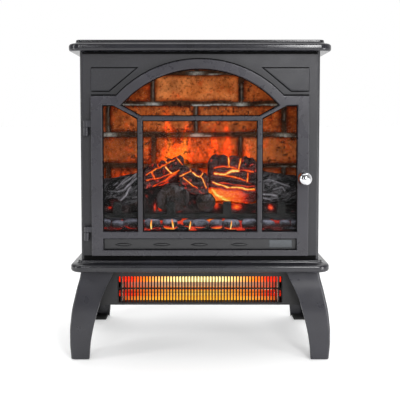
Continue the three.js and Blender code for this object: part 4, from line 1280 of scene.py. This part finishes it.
# ---- Ember bed: a moulded tray of coals that steps down to the glass, with loose lumps along its front.
def ember_tray():
    """A lumpy sheet over the tray's stepped section, with its two ends and its underside."""
    low, high = box_mm("ember_bed")
    foot = low.y + 1.5
    steps_down = [(-75.5, 281), (-82.5, 276), (-95.5, 276), (-102.5, 270)]
    section = [(high.y, 282), *steps_down, (foot, 258), (foot, low.z)]
    lengths = np.cumsum([0] + [math.dist(a, b) for a, b in zip(section, section[1:])])
    along = np.linspace(0, lengths[-1], 96)
    x, down = np.meshgrid(np.linspace(low.x, high.x, 280), along)
    y, z = (np.interp(down, lengths, values) for values in zip(*section))
    points = np.stack((x, y, z), -1)
    flat = np.stack((x, down, np.zeros_like(x)), -1)
    lumps = noise(flat, (17, 12, 9), 81, 4)
    crumbs = noise(flat, 5, 83, 3)
    lean = np.array((0, -0.5, 0.85))
    fade = step(0, 8, lengths[-1] - along)[:, None] * step(0, 3, along)[:, None]
    points = points + lean * ((1.7 * lumps + 0.6 * crumbs - 1.5) * fade)[..., None]
    faces, index = grid_faces(*x.shape)
    rear_corners = np.array([(low.x, high.y, low.z), (high.x, high.y, low.z)])
    vertices = np.concatenate((points.reshape(-1, 3), rear_corners))
    left, right = index.size, index.size + 1
    faces += [(*index[:, 0][::-1].tolist(), left), (*index[:, -1].tolist(), right)]
    faces += [(*index[0].tolist(), right, left), (*index[-1][::-1].tolist(), left, right)]
    centre = step(200, 60, np.abs(x + 15))
    front = step(262, 276, points[..., 2]) * step(-80, -92, points[..., 1])
    heat = step(0.05, -0.5, lumps) * (0.2 + 0.3 * centre)
    heat = np.maximum(heat, front * (0.3 + 0.35 * centre + 0.25 * lumps))
    ash = 0.5 * step(0.1, 0.6, lumps) * step(-0.1, 0.4, noise(flat, 30, 87, 2))
    return (vertices, faces), padded({"ash": ash, "embers": heat}, len(rear_corners))


def lump(centre, size, seed, hot):
    """One coal: a faceted, worn ball, hot at its foot and ashy on top."""
    work = bmesh.new()
    bmesh.ops.create_icosphere(work, subdivisions=3, radius=1)
    ball = np.array([v.co for v in work.verts])
    faces = [tuple(v.index for v in f.verts) for f in work.faces]
    work.free()
    coarse = noise(ball + seed, 1.1, seed, 2)
    fine = noise(ball + seed, 0.42, seed + 1, 3)
    shape = ball * (1 + 0.26 * coarse + 0.12 * fine)[:, None]
    boxed = np.sign(shape) * np.abs(shape) ** 0.7
    points = boxed * np.array(size) + np.array(centre)
    heat = hot * step(-0.05, -0.75, ball[:, 2] + 0.4 * coarse)
    ash = step(0.0, 0.7, ball[:, 2] + 0.7 * fine) * (0.5 + 0.5 * scatter(np.array([[seed, 3, 1]]), 9)[0])
    return points, faces, heat, ash


# Where the front row of coals is hot: middle, spread, heat.
HOT_SPOTS = (
    (-190, 12, 0.45),
    (-150, 14, 0.45),
    (-95, 24, 0.72),
    (-55, 12, 0.7),
    (-20, 12, 0.66),
    (10, 18, 0.62),
    (30, 12, 0.55),
    (60, 8, 0.55),
    (78, 16, 0.5),
    (150, 10, 0.5),
)
# Rows of coals from the front: Y, Z, and half length, depth and height of a coal.
COAL_RANKS = (
    (-99.5, 267, 15, 6.8, 10.2),
    (-90, 273, 13, 7, 5),
    (-74, 281, 13, 8, 5.5),
    (-54, 282, 15, 9, 6),
)


def front_heat(x):
    """How hot the coals are at a place along the front."""
    return 0.1 + max(heat * math.exp(-(((x - middle) / spread) ** 2)) for middle, spread, heat in HOT_SPOTS)


def coal_bed():
    """Loose coals in four rows over the tray's front step."""
    low, high = box_mm("ember_bed")
    order = np.random.default_rng(5)
    parts, heats, ashes = [], [], []
    for rank, (y, z, length, depth, height) in enumerate(COAL_RANKS):
        x = low.x + length
        while x < high.x - length * 0.7:
            grow = order.uniform(0.75, 1.2)
            centre = (x, y + order.uniform(-1.5, 1.5), z + order.uniform(-1, 1))
            size = (length * grow, depth * min(grow, 1.0), height * min(grow, 1.05))
            hot = min(front_heat(x) * (1.25 if rank == 0 else 0.7), 0.8)
            points, faces, heat, ash = lump(centre, size, int(order.integers(1, 9999)), hot)
            parts.append((points, faces))
            heats.append(heat)
            ashes.append(ash if rank == 0 else 0.2 * ash)
            x += length * grow * order.uniform(1.9, 2.35)
    return together(*parts), {"embers": np.concatenate(heats), "ash": np.concatenate(ashes)}


# The mound that the logs lie on: its crest over X.
MOUND_CREST = (
    (-206, 314),
    (-140, 320),
    (-112, 334),
    (-84, 338),
    (-46, 334),
    (-14, 326),
    (10, 308),
    (24, 300),
    (120, 300),
    (140, 312),
    (206, 312),
)
MOUND_MIDDLE = (-44, 272)  # Y and Z
MOUND_HALF_DEPTH = 29
# Gaps in the mound where the lamp shows: middle x, middle z, half width, half height, heat.
MOUND_GLOWS = (
    (-93, 297, 3, 9, 0.5),
    (-82, 294, 5, 5, 0.55),
    (-43, 300, 5, 12, 0.62),
    (-64, 341, 14, 4, 0.62),
    (-22, 336, 7, 5, 0.55),
    (34, 300, 6, 9, 0.6),
    (76, 296, 12, 6, 0.78),
    (146, 296, 6, 6, 0.6),
    (-186, 296, 5, 4, 0.4),
)


def ember_mound():
    """A lumpy dark ridge between the tray and the logs, hot in its gaps."""
    low, high = box_mm("ember_bed")
    middle_y, middle_z = MOUND_MIDDLE
    x, turn = np.meshgrid(np.linspace(low.x + 2, high.x - 2, 300), np.arange(90) * TURN / 90, indexing="ij")
    away = np.stack((0 * x, np.cos(turn), np.sin(turn)), -1)
    reach = np.interp(x, *zip(*MOUND_CREST)) - middle_z
    reach = reach * np.where(away[..., 2] < 0, 0.25, 1)
    points = np.stack((x, middle_y + MOUND_HALF_DEPTH * away[..., 1], middle_z + reach * away[..., 2]), -1)
    lumps = noise(points, 17, 91, 4)
    grain = ridged(points, (20, 5, 5), 93, 3)
    shaped = points + away * (3.4 * lumps + 1.0 * grain)[..., None]
    heat = np.zeros_like(x)
    for gx, gz, half_x, half_z, strength in MOUND_GLOWS:
        spot = np.exp(-(((x - gx) / half_x) ** 2) - ((points[..., 2] - gz) / half_z) ** 2)
        heat = np.maximum(heat, strength * spot * (1 + 0.5 * lumps))
    heat = np.maximum(heat, 0.3 * step(0.1, 0.5, noise(points, 8, 95, 3)) * step(0.0, 0.4, -lumps))
    ash = 0.4 * step(0.3, 0.9, grain) * step(0, 0.5, lumps)
    return glowing_column(shaped, ash, heat)


moulding("ember_tray", ember_tray(), COALS, "ember_bed")
moulding("ember_coals", coal_bed(), COALS)
moulding("ember_mound", ember_mound(), CHARCOAL)


# Small flames among the front coals: middle, foot, height, half width.
SMALL_FLAMES = ((-97, 258, 20, 2.3), (-55, 260, 19, 2.3), (-20, 258, 17, 2.0), (62, 258, 18, 1.5))
FLAMES_Y = -107.5


def small_flame(x, foot, height, width):
    """A small standing flame: a flat, pointed leaf of light."""
    angles = [TURN * i / 10 for i in range(10)]
    rings = []
    for t in np.linspace(0, 1, 12):
        half = width * (0.45 + 1.6 * t) * (1 - t) ** 0.8 + 0.05
        middle = x + 1.2 * math.sin(3 * t + x)
        leaf = [(middle + half * math.cos(a), FLAMES_Y + 0.35 * half * math.sin(a)) for a in angles]
        rings.append([(u, v, foot + height * t) for u, v in leaf])
    return loft(rings)


def flame_finish():
    """Flame plastic lit from below: pale yellow at its foot, orange at its tip."""
    finish = Finish("small flames", roughness=0.6, base_color=rgb(120, 50, 10), emission_strength=1.0)
    height = finish.range(finish.along("Z"), 0.257, 0.279, 1.0, 0.55)
    heat = finish.math("ADD", height, finish.math("MULTIPLY", finish.noise(5), 0.1))
    finish.to("Emission Color", finish.ramp(heat, *HEAT_STOPS))
    return finish.material


flames = together(*(small_flame(*settings) for settings in SMALL_FLAMES))
piece("small_flames", flames, flame_finish(), sharp=180)


# ---- Grate: a low bar with four posts, cast with eased edges.
BAR_TOP = 287.5
GRATE_POSTS = (165, 55, -59, -168)


def fire_grate():
    low, high = box_mm("fire_grate")
    right_half = [(9, BAR_TOP), (8.2, high.z - 2), (6.5, high.z)]
    left_half = [(-u, z) for u, z in reversed(right_half)]
    outline = [(low.x, low.z), (high.x, low.z), (high.x, BAR_TOP)]
    for x in GRATE_POSTS:
        outline += [(x + u, z) for u, z in right_half + left_half]
    outline.append((low.x, BAR_TOP))
    return plate([outline], low.y, high.y, 1.2, 3)


piece("fire_grate_casting", fire_grate(), CAST_BLACK, stands_for="fire_grate")


# ---- Quartz heater: grille, glowing coils in clear tubes, and two bright troughs.
WIRE_PITCH = 6.2
WIRE_COUNT = 55
MOUTH_X = 168
MOUTH_LOW, MOUTH_HIGH = 104.5, 157.5


def heater_grille():
    """A sheet frame whose mouth holds upright wires and two cross rails behind them."""
    low, high = box_mm("heater_grille")
    y = (low.y + high.y) / 2
    mouth = rectangle(-MOUTH_X, MOUTH_X, MOUTH_LOW, MOUTH_HIGH)
    parts = [plate([rectangle(low.x, high.x, low.z, high.z), mouth], low.y, high.y, 0.4, 1)]
    for i in range(WIRE_COUNT):
        x = WIRE_PITCH * (i - (WIRE_COUNT - 1) / 2)
        parts.append(rod((x, y, MOUTH_LOW - 1.5), (x, y, MOUTH_HIGH + 1.5), 1.45, 8))
    for z, radius in ((132.5, 1.6), (124.5, 0.7)):
        parts.append(rod((-MOUTH_X - 1, y + 1.6, z), (MOUTH_X + 1, y + 1.6, z), radius, 10))
    return together(*parts)


COIL_RADIUS = 3.6
COIL_WIRE = 0.75
COIL_TURNS = 96
STEPS_PER_TURN = 12


def coil(node):
    """A helix of wire along a tube, 10 mm short of its ends."""
    low, high = box_mm(node)
    middle = (low + high) / 2
    steps = COIL_TURNS * STEPS_PER_TURN + 1
    angles = np.arange(steps) * TURN / STEPS_PER_TURN
    outward = np.stack((0 * angles, np.cos(angles), np.sin(angles)), -1)
    along = np.array((1.0, 0, 0))
    centre = COIL_RADIUS * outward + np.array((0, middle.y, middle.z))
    centre[:, 0] = np.linspace(low.x + 10, high.x - 10, steps)
    rings = []
    for angle in (TURN * i / 6 for i in range(6)):
        rings.append(centre + COIL_WIRE * (math.cos(angle) * outward + math.sin(angle) * along))
    return loft(np.stack(rings, 1))


def share_of_mouth(finish):
    """How far out a point is, from 0 in the middle of the heater to 1 at the end of its mouth."""
    return finish.math("MULTIPLY", finish.math("ABSOLUTE", finish.along("X")), 1 / (MOUTH_X * MM))


def glow_by_length(finish, ripple_mm, ripple, *stops):
    """Emission that changes from the middle of the heater to its ends, a little unevenly."""
    uneven = finish.math("MULTIPLY", finish.noise(ripple_mm), ripple)
    finish.to("Emission Color", finish.ramp(finish.math("ADD", share_of_mouth(finish), uneven), *stops))
    return finish.material


def coil_finish(name, core, strength):
    """Resistance wire, brightest in the middle of its length and red towards its cool ends."""
    finish = Finish(name, roughness=0.5, base_color=rgb(60, 40, 30), emission_strength=strength)
    return glow_by_length(finish, 14, 0.08, (0.3, core), (0.66, rgb(255, 150, 40)), (0.86, rgb(255, 50, 10)))


def tube_finish(name, core, strength):
    """Clear quartz filled with the light of its coil, redder towards its ends."""
    finish = Finish(name, alpha=0.62, roughness=0.08, base_color=rgb(90, 50, 30), emission_strength=strength)
    return glow_by_length(finish, 10, 0.12, (0.3, core), (0.7, rgb(255, 130, 30)), (0.9, rgb(230, 34, 8)))


# The reflector's section: Y and Z down the upper trough and the lower one.
TROUGH = (
    (-66, 160),
    (-54, 158.5),
    (-45.5, 152),
    (-43, 143),
    (-49, 134),
    (-63, 129),
    (-49, 126),
    (-43, 118),
    (-45.5, 109),
    (-54, 103.5),
    (-66, 102),
)


def reflector():
    """Two bright troughs, one behind each tube."""
    low, high = box_mm("heater_reflector")
    section = smooth_through(TROUGH, 5)
    sheet = [*section, *(section[::-1] + (0.8, 0))]
    return loft([[(x, y, z) for y, z in sheet] for x in np.linspace(low.x, high.x, 24)])


def reflector_finish():
    """Bright sheet that carries the tubes' light: dull pink between them, yellow below the lower one."""
    finish = Finish("lit reflector", metallic=1.0, roughness=0.22, emission_strength=1.0)
    grain = finish.noise(8, 4, 0.6, (1, 30, 30))
    finish.to("Base Color", finish.mix(grain, rgb(190, 184, 176), rgb(140, 132, 126)))
    height = finish.range(finish.along("Z"), 0.102, 0.160, 0, 1)
    glow = finish.ramp(
        height,
        (0.0, rgb(255, 196, 50)),
        (0.12, rgb(255, 150, 36)),
        (0.34, rgb(226, 84, 22)),
        (0.44, rgb(120, 60, 46)),
        (0.5, rgb(132, 108, 104)),
        (0.66, rgb(150, 130, 124)),
        (0.78, rgb(250, 180, 80)),
        (1.0, rgb(255, 190, 90)),
    )
    ends = finish.mix(finish.range(share_of_mouth(finish), 0.55, 0.95, 0, 0.85), glow, rgb(190, 24, 8))
    finish.to("Emission Color", finish.mix(finish.vary(grain, 0, 0.25), ends, rgb(90, 40, 16)))
    return finish.material


MIRROR = reflector_finish()
piece("heater_reflector_troughs", reflector(), MIRROR, stands_for="heater_reflector")

for name, core, strength in (("upper", rgb(255, 232, 150), 5.0), ("lower", rgb(255, 190, 70), 2.6)):
    node = f"quartz_tube_{name}"
    piece(f"coil_{name}", coil(node), coil_finish(f"{name} coil", core, strength), sharp=180)
    dress([node], tube_finish(f"{name} quartz", core, 0.3 * strength), 0.2)

piece("heater_grille_wires", heater_grille(), CAST_BLACK, stands_for="heater_grille")


# ---- CAD nodes that stay.
dress(["hinge_knuckle_upper", "hinge_knuckle_lower", "hinge_pin_upper", "hinge_pin_lower"], PAINT, 0.35)
dress(["heater_housing"], HOUSING_PAINT, 0.4)
dress(["firebox_liner", "flame_mask"], CAST_BLACK)
dress([f"foot_pad_{end}_{side}" for end in ("front", "rear") for side in ("left", "right")], RUBBER, 0.6)
dress(["cord_gland"], RUBBER, 0.5)
dress(["flame_spindle"], POLISHED)
dress(["tube_holder_left", "tube_holder_right", "thermal_cutout"], CERAMIC, 0.3)
dress(["blower_housing", "blower_motor", "spindle_motor"], ZINC)
dress(["door_magnet"], BLACK_PLASTIC, 0.3)
dress(["blower_rotor", "spindle_bearing", "tip_over_switch"], BLACK_PLASTIC)
dress(["control_board", "power_board", "led_board"], BOARD)


# ---- Stage: pale floor, soft light from both sides, and the camera.
def pale_floor():
    finish = Finish("pale floor", roughness=0.9, emission_strength=0.24)
    shade = finish.mix(finish.noise(400, 2), rgb(250, 250, 250), rgb(246, 246, 246))
    finish.to("Base Color", shade)
    finish.to("Emission Color", shade)
    return finish.material


FLOOR_REACH = 60


def floor():
    mesh = bpy.data.meshes.new("floor")
    corners = [(FLOOR_REACH * x, FLOOR_REACH * y, 0) for x, y in ((-1, -1), (1, -1), (1, 1), (-1, 1))]
    mesh.from_pydata(corners, [], [(0, 1, 2, 3)])
    made = bpy.data.objects.new("floor", mesh)
    bpy.context.collection.objects.link(made)
    mesh.materials.append(pale_floor())


def softbox(name, place, width, height, power):
    target = (CAD_LOW + CAD_HIGH) / 2
    light = bpy.data.lights.new(name, "AREA")
    light.shape = "RECTANGLE"
    light.size = width
    light.size_y = height
    light.energy = power
    made = bpy.data.objects.new(name, light)
    made.location = place
    made.rotation_mode = "QUATERNION"
    made.rotation_quaternion = (target - Vector(place)).to_track_quat("-Z", "Y")
    bpy.context.collection.objects.link(made)


# Place, width, height and watts of each soft light; all of them face the stove's middle.
SOFTBOXES = {
    "left softbox": ((-1.1, -0.5, 0.62), 0.15, 1.4, 3.6),
    "right softbox": ((0.85, -0.7, 0.28), 0.3, 0.56, 4.2),
    "left strip": ((-0.62, -1.6, 1.05), 0.05, 0.66, 3),
    "right strip": ((0.52, -1.6, 1.05), 0.28, 0.66, 12),
    "right high softbox": ((0.8, -1.7, 1.45), 0.35, 0.6, 4),
    "front softbox": ((0.0, -2.6, 1.9), 1.2, 0.8, 0.8),
}
floor()
for name, settings in SOFTBOXES.items():
    softbox(name, *settings)

daylight = bpy.data.lights.new("overhead light", "SUN")
daylight.energy = 1.2
daylight.angle = math.radians(70)
overhead = bpy.data.objects.new("overhead light", daylight)
overhead.rotation_euler = (math.radians(-14), 0, 0)
bpy.context.collection.objects.link(overhead)


def studio_world():
    """A white surround whose light is dimmer in front of the stove and brighter on its right."""
    world = bpy.data.worlds.new("studio")
    world.use_nodes = True
    tree = world.node_tree
    place = tree.nodes.new("ShaderNodeTexCoord")
    split = tree.nodes.new("ShaderNodeSeparateXYZ")
    fall = tree.nodes.new("ShaderNodeMapRange")
    tree.links.new(place.outputs["Generated"], split.inputs[0])
    lean = tree.nodes.new("ShaderNodeMath")
    lean.operation = "MULTIPLY_ADD"
    lean.inputs[1].default_value = 0.3
    tree.links.new(split.outputs["X"], lean.inputs[0])
    tree.links.new(split.outputs["Y"], lean.inputs[2])
    tree.links.new(lean.outputs[0], fall.inputs["Value"])
    for socket, value in zip(list(fall.inputs)[1:5], (-0.4, 0.8, 0.16, 1.0)):
        socket.default_value = value
    seen = tree.nodes.new("ShaderNodeLightPath")
    strength = tree.nodes.new("ShaderNodeMath")
    strength.operation = "MAXIMUM"
    tree.links.new(fall.outputs[0], strength.inputs[0])
    tree.links.new(seen.outputs["Is Camera Ray"], strength.inputs[1])
    background = tree.nodes["Background"]
    background.inputs["Color"].default_value = (1, 1, 1, 1)
    tree.links.new(strength.outputs[0], background.inputs["Strength"])
    bpy.context.scene.world = world


studio_world()
bpy.context.scene.view_settings.view_transform = "Standard"

CAMERA_HEIGHT = 0.4728
CAMERA_AWAY = 1.2  # in front of the slabs' front edges
CAMERA_TILT = 2.8  # degrees below level
camera = bpy.data.cameras.new("camera")
camera.lens = 55.35
camera.sensor_width = 36
camera.shift_y = -0.12
viewer = bpy.data.objects.new("camera", camera)
viewer.location = (0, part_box("top_slab")[0].y - CAMERA_AWAY, CAMERA_HEIGHT)
viewer.rotation_euler = (math.radians(90 - CAMERA_TILT), 0, 0)
bpy.context.collection.objects.link(viewer)
bpy.context.scene.camera = viewer
